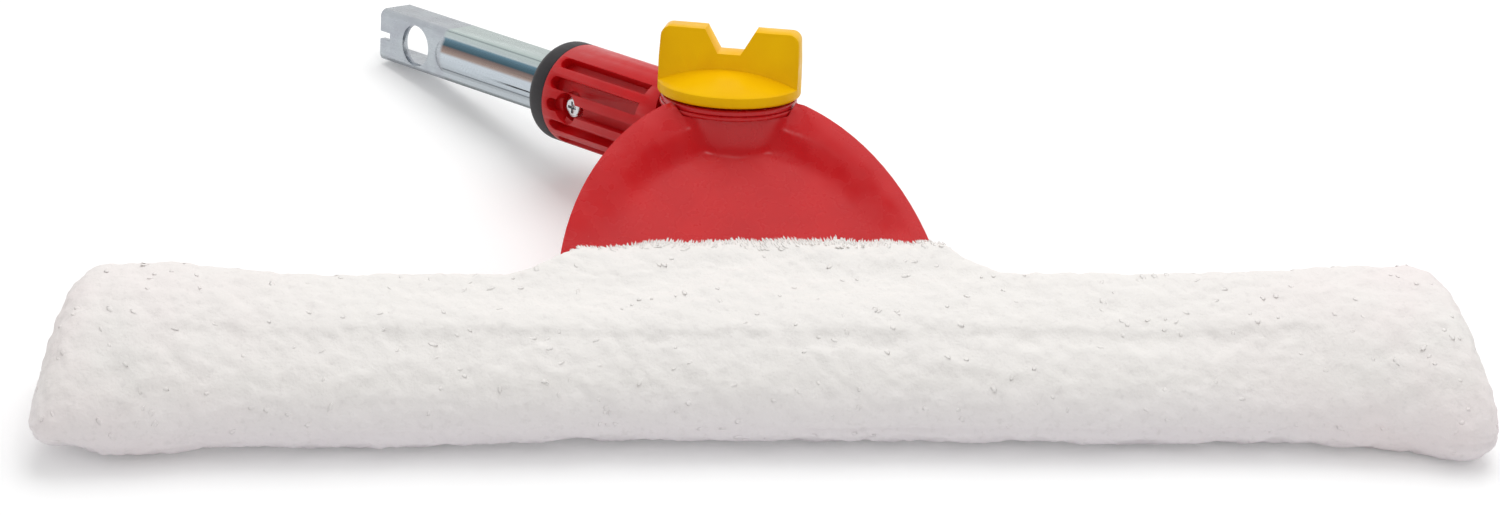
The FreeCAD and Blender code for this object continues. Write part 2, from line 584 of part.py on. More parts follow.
# Handle body: eye, ribbed grip and the seat for the shank
eye = cylinder("handle_eye", "sizes.eye_width / 2", "sizes.eye_below + sizes.eye_above",
               place(z="-sizes.eye_below"))
grip = cylinder("handle_grip", "sizes.body_width / 2", "sizes.body_end - sizes.body_start",
                place("sizes.body_start", turn=ALONG_X))
spigot = cylinder("handle_spigot", "sizes.spigot_width / 2", "sizes.spigot_length",
                  place("sizes.body_end", turn=ALONG_X))
swivel_relief = cylinder("swivel_relief", "sizes.knob_width / 2 + sizes.eye_room", "sizes.body_width",
                         place(z="sizes.eye_above"))
bolt_hole = cylinder("handle_bolt_hole", "sizes.bolt_hole_radius", "sizes.eye_below + sizes.eye_above",
                     place(z="-sizes.eye_below"))
head_pocket = cylinder("head_pocket", "sizes.bolt_washer_width / 2 + sizes.head_room",
                       "sizes.eye_pocket_top + sizes.body_width", place(z="-sizes.body_width"))
shank_seat = box("shank_seat", "sizes.shank_end", "sizes.shank_depth + 2 * sizes.shank_room",
                 "sizes.shank_height + 2 * sizes.shank_room",
                 place("sizes.shank_start", "-sizes.shank_depth / 2 - sizes.shank_room",
                       "-sizes.shank_height / 2 - sizes.shank_room"))
bead_way = box("bead_way", "sizes.shank_end", "sizes.bead_height + sizes.shank_room",
               "sizes.bead_width + 2 * sizes.shank_room",
               place("sizes.shank_start", "sizes.web_face", "-sizes.bead_width / 2 - sizes.shank_room"))
screw_hole = cylinder("screw_hole", "sizes.screw_width / 2 + sizes.screw_room", "sizes.body_width",
                      place("sizes.screw_place", "-sizes.body_width / 2", turn=ALONG_Y))
keyhole = cylinder("keyhole", "sizes.keyhole_width / 2", "sizes.body_width",
                   place("sizes.screw_place", "sizes.screw_seat", turn=ALONG_Y))
nut_pocket = hexagon("nut_pocket", "(sizes.nut_across + 2 * sizes.nut_room)", "sizes.body_width",
                     place("sizes.screw_place", "-sizes.screw_seat - sizes.body_width", turn=ALONG_Y))


def grip_slot(name, angle):
    """One slot of the grip, square at the hub end and round at the ring end."""
    turned = "placement(vector(0; 0; 0); rotation(vector(1; 0; 0); %s)) * " % angle
    straight = box(name + "_straight", "sizes.slot_length - sizes.slot_width / 2", "sizes.body_width",
                   "sizes.slot_width", turned + place("sizes.slot_start", "sizes.slot_floor", "-sizes.slot_width / 2"))
    end = cylinder(name + "_end", "sizes.slot_width / 2", "sizes.body_width",
                   turned + place("sizes.slot_start + sizes.slot_length - sizes.slot_width / 2",
                                  "sizes.slot_floor", turn=ALONG_Y))
    return [straight, end]


slot_tools = []
for half_turn in (0, 180):
    for number in range(SLOTS_EACH_SIDE):
        step = number - (SLOTS_EACH_SIDE - 1) / 2
        slot_name = "slot_%d_%d" % (half_turn, number)
        slot_tools += grip_slot(slot_name, "%d + %g * sizes.slot_pitch" % (half_turn, step))
body_blank = fuse("handle_body_blank", eye, grip, spigot)
finish(cut("handle_body", body_blank, swivel_relief, bolt_hole, head_pocket, shank_seat, bead_way,
           screw_hole, keyhole, nut_pocket, *slot_tools), "handle_body", HANDLE_FRAME)

# Grey end ring on the body's spigot
ring_blank = cylinder("ring_blank", "sizes.body_width / 2", "sizes.ring_length",
                      place("sizes.body_end", turn=ALONG_X))


def is_outer_rim(edge):
    return is_circle(edge) and edge.BoundBox.XMin > sheet.body_end + sheet.ring_length / 2


ring_round = rounded("ring_round", ring_blank, sheet.ring_round, is_outer_rim)
ring_bore = cylinder("ring_bore", "sizes.spigot_width / 2 + sizes.ring_room",
                     "sizes.spigot_length + sizes.ring_room + sizes.overrun",
                     place("sizes.body_end - sizes.overrun", turn=ALONG_X))
finish(cut("handle_end_ring", ring_round, ring_bore, shank_seat, bead_way), "handle_end_ring", HANDLE_FRAME)

# Shank: folded steel channel with a lock hole, a slotted tip and a pressed bead
channel_block = box("channel_block", "sizes.shank_end - sizes.shank_start", "sizes.shank_depth",
                    "sizes.shank_height", place("sizes.shank_start", "-sizes.web_face", "-sizes.shank_height / 2"))


def is_bend(edge):
    return edge.BoundBox.XLength > sheet.shank_height and edge.BoundBox.YMin > 0


channel_bent = rounded("channel_bent", channel_block, sheet.shank_bend, is_bend)
bead_bar = cylinder("bead_bar", "sizes.bead_radius", "sizes.bead_end - sizes.shank_start",
                    place("sizes.shank_start", "sizes.bead_axis", turn=ALONG_X))
bead_tip = doc.addObject("Part::Sphere", "bead_tip")
bind(bead_tip, Radius="sizes.bead_radius", Placement=place("sizes.bead_end", "sizes.bead_axis"))
outer_half = box("outer_half", "2 * sizes.shank_end", "sizes.shank_depth", "sizes.shank_height",
                 place("0", "0", "-sizes.shank_height / 2"))
bead = common("bead", fuse("bead_blank", bead_bar, bead_tip), outer_half)
channel_solid = fuse("channel_solid", channel_bent, bead)
channel_inside = box("channel_inside", "2 * sizes.shank_end", "2 * sizes.shank_depth",
                     "sizes.shank_height - 2 * sizes.shank_sheet",
                     place("0", "sizes.web_face - sizes.shank_sheet - 2 * sizes.shank_depth",
                           "-sizes.shank_height / 2 + sizes.shank_sheet"))
lock = cylinder("lock_hole_tool", "sizes.lock_hole / 2", "sizes.shank_depth",
                place("sizes.shank_end - sizes.lock_from_tip", "sizes.web_face - sizes.shank_sheet",
                      turn=ALONG_Y))
tip_slot = box("tip_slot", "sizes.tip_slot_length + sizes.overrun", "sizes.shank_depth", "sizes.tip_slot_width",
               place("sizes.shank_end - sizes.tip_slot_length", "0", "-sizes.tip_slot_width / 2"))
web_hole = cylinder("web_hole", "sizes.screw_width / 2 + sizes.screw_room", "sizes.body_width",
                    place("sizes.screw_place", "0", turn=ALONG_Y))
finish(cut("pole_shank", channel_solid, channel_inside, lock, tip_slot, web_hole), "pole_shank", HANDLE_FRAME)

# Screw and nut that hold the shank in the body
pan_blank = cylinder("pan_blank", "sizes.screw_head_width / 2", "sizes.screw_head_height",
                     place("sizes.screw_place", "sizes.screw_seat", turn=ALONG_Y))


def is_pan_rim(edge):
    return is_circle(edge) and edge.BoundBox.YMin > sheet.screw_seat + sheet.screw_head_height / 2


pan_head = rounded("pan_head", pan_blank, sheet.screw_head_round, is_pan_rim)
screw_stem = cylinder("screw_stem", "sizes.screw_width / 2", "sizes.screw_seat + sizes.screw_tail",
                      place("sizes.screw_place", "-sizes.screw_tail", turn=ALONG_Y))
cross_foot = "sizes.screw_seat + sizes.screw_head_height - sizes.cross_depth"
cross_long = box("cross_long", "sizes.cross_length", "sizes.overrun", "sizes.cross_width",
                 place("sizes.screw_place - sizes.cross_length / 2", cross_foot, "-sizes.cross_width / 2"))
cross_tall = box("cross_tall", "sizes.cross_width", "sizes.overrun", "sizes.cross_length",
                 place("sizes.screw_place - sizes.cross_width / 2", cross_foot, "-sizes.cross_length / 2"))
finish(cut("shank_screw", fuse("screw_blank", pan_head, screw_stem), cross_long, cross_tall),
       "shank_screw", HANDLE_FRAME)
nut_blank = hexagon("nut_blank", "sizes.nut_across", "sizes.nut_height",
                    place("sizes.screw_place", "-sizes.screw_seat - sizes.nut_height", turn=ALONG_Y))
nut_hole = cylinder("nut_hole", "sizes.screw_width / 2 + sizes.bolt_room", "sizes.body_width",
                    place("sizes.screw_place", "-sizes.body_width", turn=ALONG_Y))
finish(cut("shank_nut", nut_blank, nut_hole), "shank_nut", HANDLE_FRAME)

# Check every feature, then write one file for each piece
doc.recompute()
for feature in doc.Objects:
    if "Invalid" in feature.State or "Error" in feature.State:
        raise RuntimeError("%s did not build: %s" % (feature.Name, feature.State))
for piece in nodes:
    if piece.Shape.isNull() or not piece.Shape.isValid() or not piece.Shape.Solids:
        raise RuntimeError("%s has no sound solid" % piece.Label)
    piece.Shape.exportStep("parts/%s.step" % piece.Label)
    print("%-20s %d solid, %.0f mm3" % (piece.Label, len(piece.Shape.Solids), piece.Shape.Volume))
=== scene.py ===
# %% [markdown]
# # A window strip washer, dressed for the camera
#
# The real tool is a fleece sleeve on a hollow plastic bar. A red plate grows out of the bar and carries
# a hub, and a short handle turns under that hub until a yellow wing knob clamps it. The handle ends in a
# folded steel shank that plugs into a pole.
#
# The hard parts come ready made from the CAD model, at their real size. This lesson gives each of them
# its finish and its rounded edges, and builds what CAD leaves plain: the fleece. Everything is in
# metres, in the CAD model's own frame.

import json
import math

import bmesh
import bpy
import numpy as np
from mathutils import Matrix, Vector, noise


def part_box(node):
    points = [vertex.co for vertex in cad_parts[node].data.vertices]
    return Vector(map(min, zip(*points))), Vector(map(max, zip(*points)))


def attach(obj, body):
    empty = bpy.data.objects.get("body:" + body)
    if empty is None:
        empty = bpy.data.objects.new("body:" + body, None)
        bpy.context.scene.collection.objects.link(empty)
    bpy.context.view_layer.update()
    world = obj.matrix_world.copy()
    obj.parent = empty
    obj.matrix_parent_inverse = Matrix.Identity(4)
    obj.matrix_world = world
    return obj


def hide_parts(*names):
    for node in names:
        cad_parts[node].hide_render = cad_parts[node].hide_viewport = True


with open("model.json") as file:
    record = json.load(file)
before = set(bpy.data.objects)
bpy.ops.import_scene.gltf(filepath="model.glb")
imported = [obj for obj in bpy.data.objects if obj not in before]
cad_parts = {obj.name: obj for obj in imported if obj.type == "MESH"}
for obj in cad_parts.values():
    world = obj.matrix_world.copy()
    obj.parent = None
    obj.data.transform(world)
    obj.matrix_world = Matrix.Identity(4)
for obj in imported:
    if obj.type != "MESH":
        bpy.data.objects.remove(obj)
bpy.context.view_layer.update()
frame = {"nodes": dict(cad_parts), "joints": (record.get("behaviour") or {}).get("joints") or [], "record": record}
nodes = frame["nodes"]
MM = 0.001

# %% [markdown]
# ## Where things are
#
# A number that CAD already knows should never be typed a second time, so the places come from the frame.
# The two end caps give the bar's middle line, the swivel joint gives its own axis, and the mounts of the
# shank give its lock hole and its direction. Only the head's lean isn't in the frame, so it is named here.

# %% Frames of the head and of the handle
HEAD_TILT = math.radians(22)


def middle_of(node):
    """The middle of a CAD node's box."""
    low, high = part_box(node)
    return (low + high) / 2


def frame_at(origin, along, up):
    """A matrix at origin whose X runs along and whose Z is up."""
    x, z = Vector(along), Vector(up)
    return Matrix.Translation(origin) @ Matrix((x, z.cross(x), z)).transposed().to_4x4()


mounts = {mount["name"]: mount for mount in frame["record"]["mounts"]}
swivel = next(joint for joint in frame["joints"] if joint["name"] == "swivel")
swivel_point = Vector(swivel["pos_m"])
bar_middle = (middle_of("bar_cap_left") + middle_of("bar_cap_right")) / 2
head_frame = Matrix.Translation(bar_middle) @ Matrix.Rotation(HEAD_TILT, 4, "X")
handle_frame = frame_at(swivel_point, mounts["pole_plug"]["axis"], swivel["axis"])
lock_place = handle_frame.inverted() @ Vector(mounts["lock_hole"]["pos_m"])
print("lock hole in the handle's frame, in mm:", [round(c / MM, 2) for c in lock_place])

# %% [markdown]
# ## The camera
#
# The photographer stood in front of the washer, a little to its left, and looked down at it through a
# long lens. The place and the three angles below were found once, by matching the outlines of the known
# round and straight parts. Roll is what makes a level edge climb slightly across a picture.

# %% Camera
CAMERA_PLACE = Vector((-0.20183, -1.17165, 0.67606))
LOOK_DOWN = math.radians(29.71)
LOOK_RIGHT = math.radians(10.26)
CAMERA_ROLL = math.radians(5.18)
LENS = 124.8

camera = bpy.data.objects.new("camera", bpy.data.cameras.new("camera"))
camera.data.lens = LENS
aim = Matrix.Rotation(-LOOK_RIGHT, 4, "Z") @ Matrix.Rotation(math.pi / 2 - LOOK_DOWN, 4, "X")
camera.matrix_world = Matrix.Translation(CAMERA_PLACE) @ aim @ Matrix.Rotation(CAMERA_ROLL, 4, "Z")
bpy.context.collection.objects.link(camera)
bpy.context.scene.camera = camera
bpy.context.scene.view_settings.view_transform = "Standard"
print("camera", round(CAMERA_PLACE.length, 2), "m from the washer, with a lens of", LENS, "mm")

# %% [markdown]
# ## The studio
#
# A catalogue picture is taken in a white room. Above and behind the photographer the room is dark, and
# gloss needs something dark to reflect: without it every curve would look chalky. So the world is white
# for the camera, paler for the light that it sheds, and dark on the camera's side for reflections alone.

# %% White world with a dark side
WORLD_LEVEL = 0.6
ROOM_LEAN = 0.16
ROOM_FOOT = 0.25
ROOM_LEVEL = 0.03
ROOM_EDGE = 0.05
WHITE = (1, 1, 1, 1)


def add(tree, kind, **inputs):
    """A new node. A value given for an input is set, and a socket is linked. An input goes by its name, with
    underscores for spaces, or by its number as i0, i1 and so on."""
    made = tree.nodes.new(kind)
    for name, value in inputs.items():
        socket = made.inputs[int(name[1:])] if name[1:].isdigit() else made.inputs[name.replace("_", " ")]
        if isinstance(value, bpy.types.NodeSocket):
            tree.links.new(value, socket)
        else:
            socket.default_value = value
    return made


def seen_directly(tree):
    """1 for rays from the camera, from a glossy surface or through glass, and 0 for the light's own rays."""
    path = add(tree, "ShaderNodeLightPath")
    either = add(tree, "ShaderNodeMath", i0=path.outputs["Is Camera Ray"], i1=path.outputs["Is Glossy Ray"])
    either.operation = "MAXIMUM"
    glass = add(tree, "ShaderNodeMath", i0=either.outputs[0], i1=path.outputs["Is Transmission Ray"])
    glass.operation = "MAXIMUM"
    return glass.outputs[0]


def room_light(tree):
    """1, but falling to ROOM_LEVEL for reflections of what is above and behind the photographer."""
    way = add(tree, "ShaderNodeTexCoord").outputs["Generated"]
    back = add(tree, "ShaderNodeVectorMath", i0=way, i1=(0, 1, -ROOM_LEAN))
    back.operation = "DOT_PRODUCT"
    open_side = add(tree, "ShaderNodeMapRange", Value=back.outputs["Value"], From_Min=-ROOM_EDGE,
                    From_Max=ROOM_EDGE)
    height = add(tree, "ShaderNodeSeparateXYZ", Vector=way).outputs["Z"]
    low = add(tree, "ShaderNodeMapRange", Value=height, From_Min=2 * ROOM_FOOT, From_Max=ROOM_FOOT)
    bright = add(tree, "ShaderNodeMath", i0=open_side.outputs[0], i1=low.outputs[0])
    bright.operation = "MAXIMUM"
    floor_level = add(tree, "ShaderNodeMath", i0=bright.outputs[0], i1=ROOM_LEVEL)
    floor_level.operation = "MAXIMUM"
    glossy = add(tree, "ShaderNodeLightPath").outputs["Is Glossy Ray"]
    return add(tree, "ShaderNodeMix", i0=glossy, i2=1.0, i3=floor_level.outputs[0]).outputs[0]


world = bpy.data.worlds.new("studio")
world.use_nodes = True
bpy.context.scene.world = world
sky = world.node_tree
lit = add(sky, "ShaderNodeBackground", Strength=WORLD_LEVEL)
white = add(sky, "ShaderNodeBackground", Strength=room_light(sky))
white.inputs["Color"].default_value = WHITE
lit.inputs["Color"].default_value = WHITE
chosen = add(sky, "ShaderNodeMixShader", Fac=seen_directly(sky), i1=lit.outputs[0], i2=white.outputs[0])
sky.links.new(chosen.outputs[0], sky.nodes["World Output"].inputs["Surface"])
print("world:", len(sky.nodes), "nodes")

# %% [markdown]
# ## The lamps
#
# One big soft lamp hangs overhead and a little behind the washer, and throws the shadow in front of it.
# It is hidden from reflections, where it would show as a hard round spot. A small lamp above the front
# is there only for its glint in the hollow curves. Each is given by its watts, its width and its place.

# %% Lamps
SOFTBOX = (7.4, 1.2, Vector((0.15, 0.36, 1.08)))
SPOT = (0.4, 0.085, Vector((0.12, -0.36, 1.10)))


def lamp(name, watts, span, place):
    """A round lamp at place, turned to the washer."""
    made = bpy.data.objects.new(name, bpy.data.lights.new(name, "AREA"))
    made.data.shape, made.data.size, made.data.energy = "DISK", span, watts
    made.matrix_world = Matrix.Translation(place) @ (-place).to_track_quat("-Z", "Y").to_matrix().to_4x4()
    bpy.context.collection.objects.link(made)
    return made


lamp("overhead_softbox", *SOFTBOX).visible_glossy = False
lamp("small_spot", *SPOT)
print("lamps of", SOFTBOX[0], "and", SPOT[0], "watts")

# %% [markdown]
# ## The floor
#
# The floor is a sweep of white paper. It has to look white to the camera and still hold the shadow
# under the fleece, so it adds a little glow of its own, but only for rays that come from the camera or
# from a glossy surface. A brighter lamp would do the same, but it would bleach the fleece too.

# %% Floor
FLOOR_SPAN = 6.0
FLOOR_WHITE = 0.86
FLOOR_GLOW = 0.2

floor_mesh = bpy.data.meshes.new("floor")
corners = [(x * FLOOR_SPAN / 2, y * FLOOR_SPAN / 2, 0) for x, y in ((-1, -1), (1, -1), (1, 1), (-1, 1))]
floor_mesh.from_pydata(corners, [], [(0, 1, 2, 3)])
floor = bpy.data.objects.new("floor", floor_mesh)
bpy.context.collection.objects.link(floor)

floor_paint = bpy.data.materials.new("white_sweep")
floor_paint.use_nodes = True
paint = floor_paint.node_tree
paint.nodes.remove(paint.nodes["Principled BSDF"])
matt = add(paint, "ShaderNodeBsdfDiffuse")
matt.inputs["Color"].default_value = (FLOOR_WHITE, FLOOR_WHITE, FLOOR_WHITE, 1)
glow = add(paint, "ShaderNodeEmission", Strength=FLOOR_GLOW)
both = add(paint, "ShaderNodeAddShader", i0=matt.outputs[0], i1=glow.outputs[0])
shown = add(paint, "ShaderNodeMixShader", Fac=seen_directly(paint), i1=matt.outputs[0], i2=both.outputs[0])
paint.links.new(shown.outputs[0], paint.nodes["Material Output"].inputs["Surface"])
floor_mesh.materials.append(floor_paint)
print("floor", FLOOR_SPAN, "m wide")

# %% [markdown]
# ## Moulded plastic
#
# The plate, hub and grip are one kind of red plastic, the knob is yellow and the ring is dark grey.
# Fresh moulded plastic has a faint orange-peel skin, a colour that drifts by a few per cent, and a
# gloss that changes from place to place. Three noise textures at three sizes give those, all on Object
# coordinates, so that the pattern stays put when the part turns.

# %% Plastic finishes
DRIFT_SIZE, GLOSS_SIZE, PEEL_SIZE = 14, 5, 0.9


def per_mm(size):
    """The Scale of a texture whose spots are about size millimetres wide."""
    return 1 / (size * MM)


def start_finish(name):
    """A new material, with its tree, its shader and the Object coordinates."""
    material = bpy.data.materials.new(name)
    material.use_nodes = True
    tree = material.node_tree
    return material, tree, tree.nodes["Principled BSDF"], add(tree, "ShaderNodeTexCoord").outputs["Object"]


def spots(tree, place, size, detail=2.0):
    """A soft noise about size millimetres across."""
    return add(tree, "ShaderNodeTexNoise", Vector=place, Scale=per_mm(size), Detail=detail).outputs["Fac"]


def spread(tree, value, low, high, from_low=0.3, from_high=0.7):
    """Value between from_low and from_high, stretched to run from low to high."""
    mapped = add(tree, "ShaderNodeMapRange", Value=value)
    for name, number in (("From Min", from_low), ("From Max", from_high), ("To Min", low), ("To Max", high)):
        mapped.inputs[name].default_value = number
    return mapped.outputs[0]


def mixed(tree, share, first, second):
    """A colour between first and second. Each is three numbers or a socket."""
    mix = tree.nodes.new("ShaderNodeMix")
    mix.data_type = "RGBA"
    share_socket, first_socket, second_socket = mix.inputs[0], mix.inputs[6], mix.inputs[7]
    for socket, value in ((share_socket, share), (first_socket, first), (second_socket, second)):
        if isinstance(value, bpy.types.NodeSocket):
            tree.links.new(value, socket)
        else:
            socket.default_value = (*value, 1) if hasattr(value, "__len__") else value
    return mix.outputs[2]


def bumped(tree, shader, height, depth, strength=1.0, under=None):
    """Give shader a surface that stands depth millimetres high where height is 1."""
    bump = add(tree, "ShaderNodeBump", Height=height, Distance=depth * MM, Strength=strength)
    if under is not None:
        tree.links.new(under, bump.inputs["Normal"])
    tree.links.new(bump.outputs[0], shader.inputs["Normal"])
    return bump.outputs[0]


def plastic(name, colour, deep_colour, gloss, peel=0.02, specular=0.5):
    """A moulded plastic. gloss is its lowest and highest roughness, peel the skin's relief in millimetres."""
    material, tree, shader, place = start_finish(name)
    drift = spread(tree, spots(tree, place, DRIFT_SIZE), 0.0, 1.0)
    tree.links.new(mixed(tree, drift, colour, deep_colour), shader.inputs["Base Color"])
    tree.links.new(spread(tree, spots(tree, place, GLOSS_SIZE, 3.0), *gloss), shader.inputs["Roughness"])
    bumped(tree, shader, spots(tree, place, PEEL_SIZE), peel)
    shader.inputs["Specular IOR Level"].default_value = specular
    return material


red_plastic = plastic("moulded_red", (0.61, 0.005, 0.008),
                      (0.55, 0.003, 0.007), (0.22, 0.33), specular=0.46)
grip_plastic = plastic("moulded_grip_red", (0.57, 0.004, 0.007),
                       (0.50, 0.003, 0.006), (0.30, 0.42), specular=0.22)
yellow_plastic = plastic("moulded_yellow", (0.92, 0.53, 0.0015),
                         (0.86, 0.46, 0.0015), (0.28, 0.40), specular=0.06)
grey_plastic = plastic("moulded_grey", (0.036, 0.033, 0.036),
                       (0.028, 0.026, 0.029), (0.40, 0.52), specular=0.3)
dark_plastic = plastic("moulded_black", (0.018, 0.018, 0.019), (0.012, 0.012, 0.013), (0.45, 0.55))
rubber = plastic("friction_rubber", (0.022, 0.021, 0.021), (0.014, 0.014, 0.014), (0.6, 0.75), peel=0.04)
print("finishes so far:", [material.name for material in bpy.data.materials])

# %% [markdown]
# ## Zinc, steel and brass
#
# The shank is cold-rolled steel with a bright zinc coat. Its shine is cut up by fine drawing lines
# along the strip, which are noise squeezed in one direction by a Mapping node, and by a soft cloudy
# spangle from the zinc bath. Along the pressed bead a Color Ramp runs across the strip. Its teal, brown
# and pale blue bands are the tint of the passivation, which dried thicker there. Its dark lines and pale
# stripes are painted reflections and painted shade on the bead's flanks.

# %% Metal finishes
BAND_HALF = 7.25
BEAD_END, BEAD_FADE = 112.0, 1.2
LINE_SQUEEZE = 0.04
LINE_DEPTH = 0.01
# Painted reflections and shade: the dark and pale stops stand for what the bead's flanks mirror. The teal, brown
# and blue stops are the zinc's tint.
TINT_AND_REFLECTION_BANDS = ((-BAND_HALF, (0.18, 0.20, 0.22)), (-6.4, (0.24, 0.27, 0.28)), (-5.7, (0.44, 0.48, 0.51)),
         (-3.8, (0.45, 0.49, 0.52)), (-3.45, (0.13, 0.15, 0.17)), (-3.1, (0.46, 0.51, 0.55)),
         (0.8, (0.52, 0.57, 0.62)), (1.5, (0.34, 0.26, 0.23)), (2.9, (0.19, 0.14, 0.13)),
         (3.3, (0.05, 0.10, 0.13)), (5.0, (0.12, 0.21, 0.27)), (5.5, (0.46, 0.52, 0.53)),
         (6.7, (0.48, 0.55, 0.54)), (6.9, (0.22, 0.26, 0.27)), (7.1, (0.47, 0.55, 0.53)),
         (BAND_HALF, (0.47, 0.55, 0.53)))


def tint_and_reflections_along_bead(tree, place, plain):
    """Tint bands, painted reflections and painted shade across the strip, only where the bead is. place is in the
    handle's frame.
    """
    parts = add(tree, "ShaderNodeSeparateXYZ", Vector=place)
    across = spread(tree, parts.outputs["Z"], 0.0, 1.0, -BAND_HALF * MM, BAND_HALF * MM)
    ramp = add(tree, "ShaderNodeValToRGB", Fac=across)
    stops = ramp.color_ramp.elements
    while len(stops) < len(TINT_AND_REFLECTION_BANDS):
        stops.new(1.0)
    for stop, (height, colour) in zip(stops, TINT_AND_REFLECTION_BANDS):
        stop.position, stop.color = (height + BAND_HALF) / (2 * BAND_HALF), (*colour, 1)
    on_bead = spread(tree, parts.outputs["X"], 1.0, 0.0, (BEAD_END - BEAD_FADE) * MM, BEAD_END * MM)
    return mixed(tree, on_bead, plain, ramp.outputs[0])


def metal(name, colour, deep_colour, gloss, line_size, frame_of=None, spangle=6.0):
    """A metal with drawing lines along X of a frame. line_size is the lines' pitch in millimetres."""
    material, tree, shader, place = start_finish(name)
    if frame_of is not None:
        mapping = add(tree, "ShaderNodeMapping", Vector=place)
        mapping.vector_type = "POINT"
        mapping.inputs["Location"].default_value = frame_of.inverted().translation
        mapping.inputs["Rotation"].default_value = frame_of.inverted().to_euler()
        place = mapping.outputs[0]
    squeezed = add(tree, "ShaderNodeMapping", Vector=place)
    squeezed.inputs["Scale"].default_value = (LINE_SQUEEZE, 1, 1)
    lines = spots(tree, squeezed.outputs[0], line_size, 3.0)
    cloud = spread(tree, spots(tree, place, spangle, 2.0), 0.0, 1.0)
    colour = mixed(tree, cloud, colour, deep_colour)
    if frame_of is not None:
        # Painted reflections and painted shade, together with the zinc's tint, in bands across the bead.
        colour = tint_and_reflections_along_bead(tree, place, colour)
    tree.links.new(colour, shader.inputs["Base Color"])
    tree.links.new(spread(tree, lines, *gloss), shader.inputs["Roughness"])
    bumped(tree, shader, lines, LINE_DEPTH)
    shader.inputs["Metallic"].default_value = 1.0
    return material


zinc_steel = metal("zinc_plated_steel", (0.46, 0.50, 0.53), (0.37, 0.39, 0.43), (0.24, 0.38), 0.35,
                   handle_frame)
bright_steel = metal("bright_steel", (0.66, 0.67, 0.68), (0.58, 0.59, 0.60), (0.18, 0.3), 0.25)
brass = metal("turned_brass", (0.70, 0.50, 0.22), (0.62, 0.43, 0.18), (0.2, 0.32), 0.25)
print("three metals, with", len(TINT_AND_REFLECTION_BANDS), "stops in the bands of the first")

# %% [markdown]
# ## Dressing the CAD parts
#
# A moulded edge is never razor sharp, and the thin bright line along it is what makes plastic look
# solid. A CAD mesh arrives as loose triangles, so a Weld modifier first joins them, and a Bevel then
# rounds only the edges that are sharper than a set angle. The mesh itself stays as CAD made it.

# %% Finish and edge of each CAD part
SHARP = math.radians(28)
WELD_REACH = 0.002
EDGE_SEGMENTS = 2


def dress(node, material, edge):
    """Give a CAD node its material and round its sharp edges by edge millimetres."""
    part = nodes[node]
    part.data.materials.clear()
    part.data.materials.append(material)
    for polygon in part.data.polygons:
        polygon.use_smooth = True
    weld = part.modifiers.new("join_triangles", "WELD")
    weld.merge_threshold = WELD_REACH * MM
    bevel = part.modifiers.new("moulded_edge", "BEVEL")
    bevel.width = edge * MM
    bevel.segments = EDGE_SEGMENTS
    bevel.limit_method = "ANGLE"
    bevel.angle_limit = SHARP
    bevel.harden_normals = True
    return part


FINISHES = {
    "carrier": (red_plastic, 0.35),
    "bar_cap_left": (dark_plastic, 0.3),
    "bar_cap_right": (dark_plastic, 0.3),
    "closure_hook_strip": (dark_plastic, 0.2),
    "closure_loop_strip": (dark_plastic, 0.2),
    "swivel_bolt": (bright_steel, 0.2),
    "bolt_spring_washer": (bright_steel, 0.15),
    "bolt_washer": (bright_steel, 0.15),
    "friction_washer": (rubber, 0.15),
    "collar_washer": (red_plastic, 0.15),
    "knob_washer": (bright_steel, 0.15),
    "knob_insert": (brass, 0.15),
    "knob": (yellow_plastic, 0.5),
    "handle_body": (grip_plastic, 0.3),
    "handle_end_ring": (grey_plastic, 0.3),
    "pole_shank": (zinc_steel, 0.2),
    "shank_screw": (bright_steel, 0.1),
    "shank_nut": (bright_steel, 0.15),
}
for node, (material, edge) in FINISHES.items():
    dress(node, material, edge)
print("dressed", len(FINISHES), "CAD parts")

# %% [markdown]
# ## The fleece sleeve: its outline
#
# The sleeve is a knitted tube of woolly pile pulled over the bar. Seen from its end it is a flattened
# oval, and behind it a low hump of pile climbs the plate up to the mouth where the plate comes out.
# A rule can say all of that, so the surface is not modelled by hand: for any place along the bar and
# any direction round it, the functions below say how far away the fleece is. All lengths are in
# millimetres here, in the head's own frame: along the bar, up the plate, and out of the plate. The sizes
# were set by laying the drawn outline over the photograph's, one end and one side at a time.

# %% Outline of the sleeve
END_ROOM = 1.5
HALF_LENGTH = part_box("sleeve")[1].x / MM - END_ROOM
LEFT_SLANT, RIGHT_SLANT = 6.0, 3.6
END_BULGE = 8.0
END_BULGE_SHARPNESS = 2.3
DEPTH, THICKNESS = 45.6, 22.4
BELLY = 4.4
FRONT_SHIFT = 0.9
END_GIRTH = 0.22
END_GIRTH_SPAN = (128.0, 158.0)
MIDDLE_TUCK = 0.05
OVAL_POWER = 2.15
HUMP_TOP = 33.6
HUMP_CROWN = 1.8
HUMP_TILT = 0.013
LEFT_HUMP_SIDE, RIGHT_HUMP_SIDE = (41.0, 62.0), (45.0, 63.0)
HUMP_FOOT_RISE = 11.3
HUMP_DRAFT = 0.13
HUMP_BLEND = 5.0
LEAST_COSINE = 0.02
PLATE_MIDDLE = -0.75
MOUTH_HALF = 48.0
MOUTH_GAP = 2.15
BAR_ROOM_DEPTH, BAR_ROOM_THICKNESS = 34.8, 14.8
BAR_ROOM_HALF = 155.4


def soft_max(first, second, blend):
    """The larger of two distances, with the corner between them rounded over blend millimetres."""
    near = np.clip(1 - np.abs(first - second) / blend, 0, None)
    return np.maximum(first, second) + near ** 2 * blend / 4


def soft_min(first, second, blend):
    """The smaller of two distances, rounded in the same way."""
    return -soft_max(-first, -second, blend)


def smooth_step(value, low, high):
    """0 below low, 1 above high, and an S-shaped climb between them."""
    share = np.clip((value - low) / (high - low), 0, 1)
    return share * share * (3 - 2 * share)


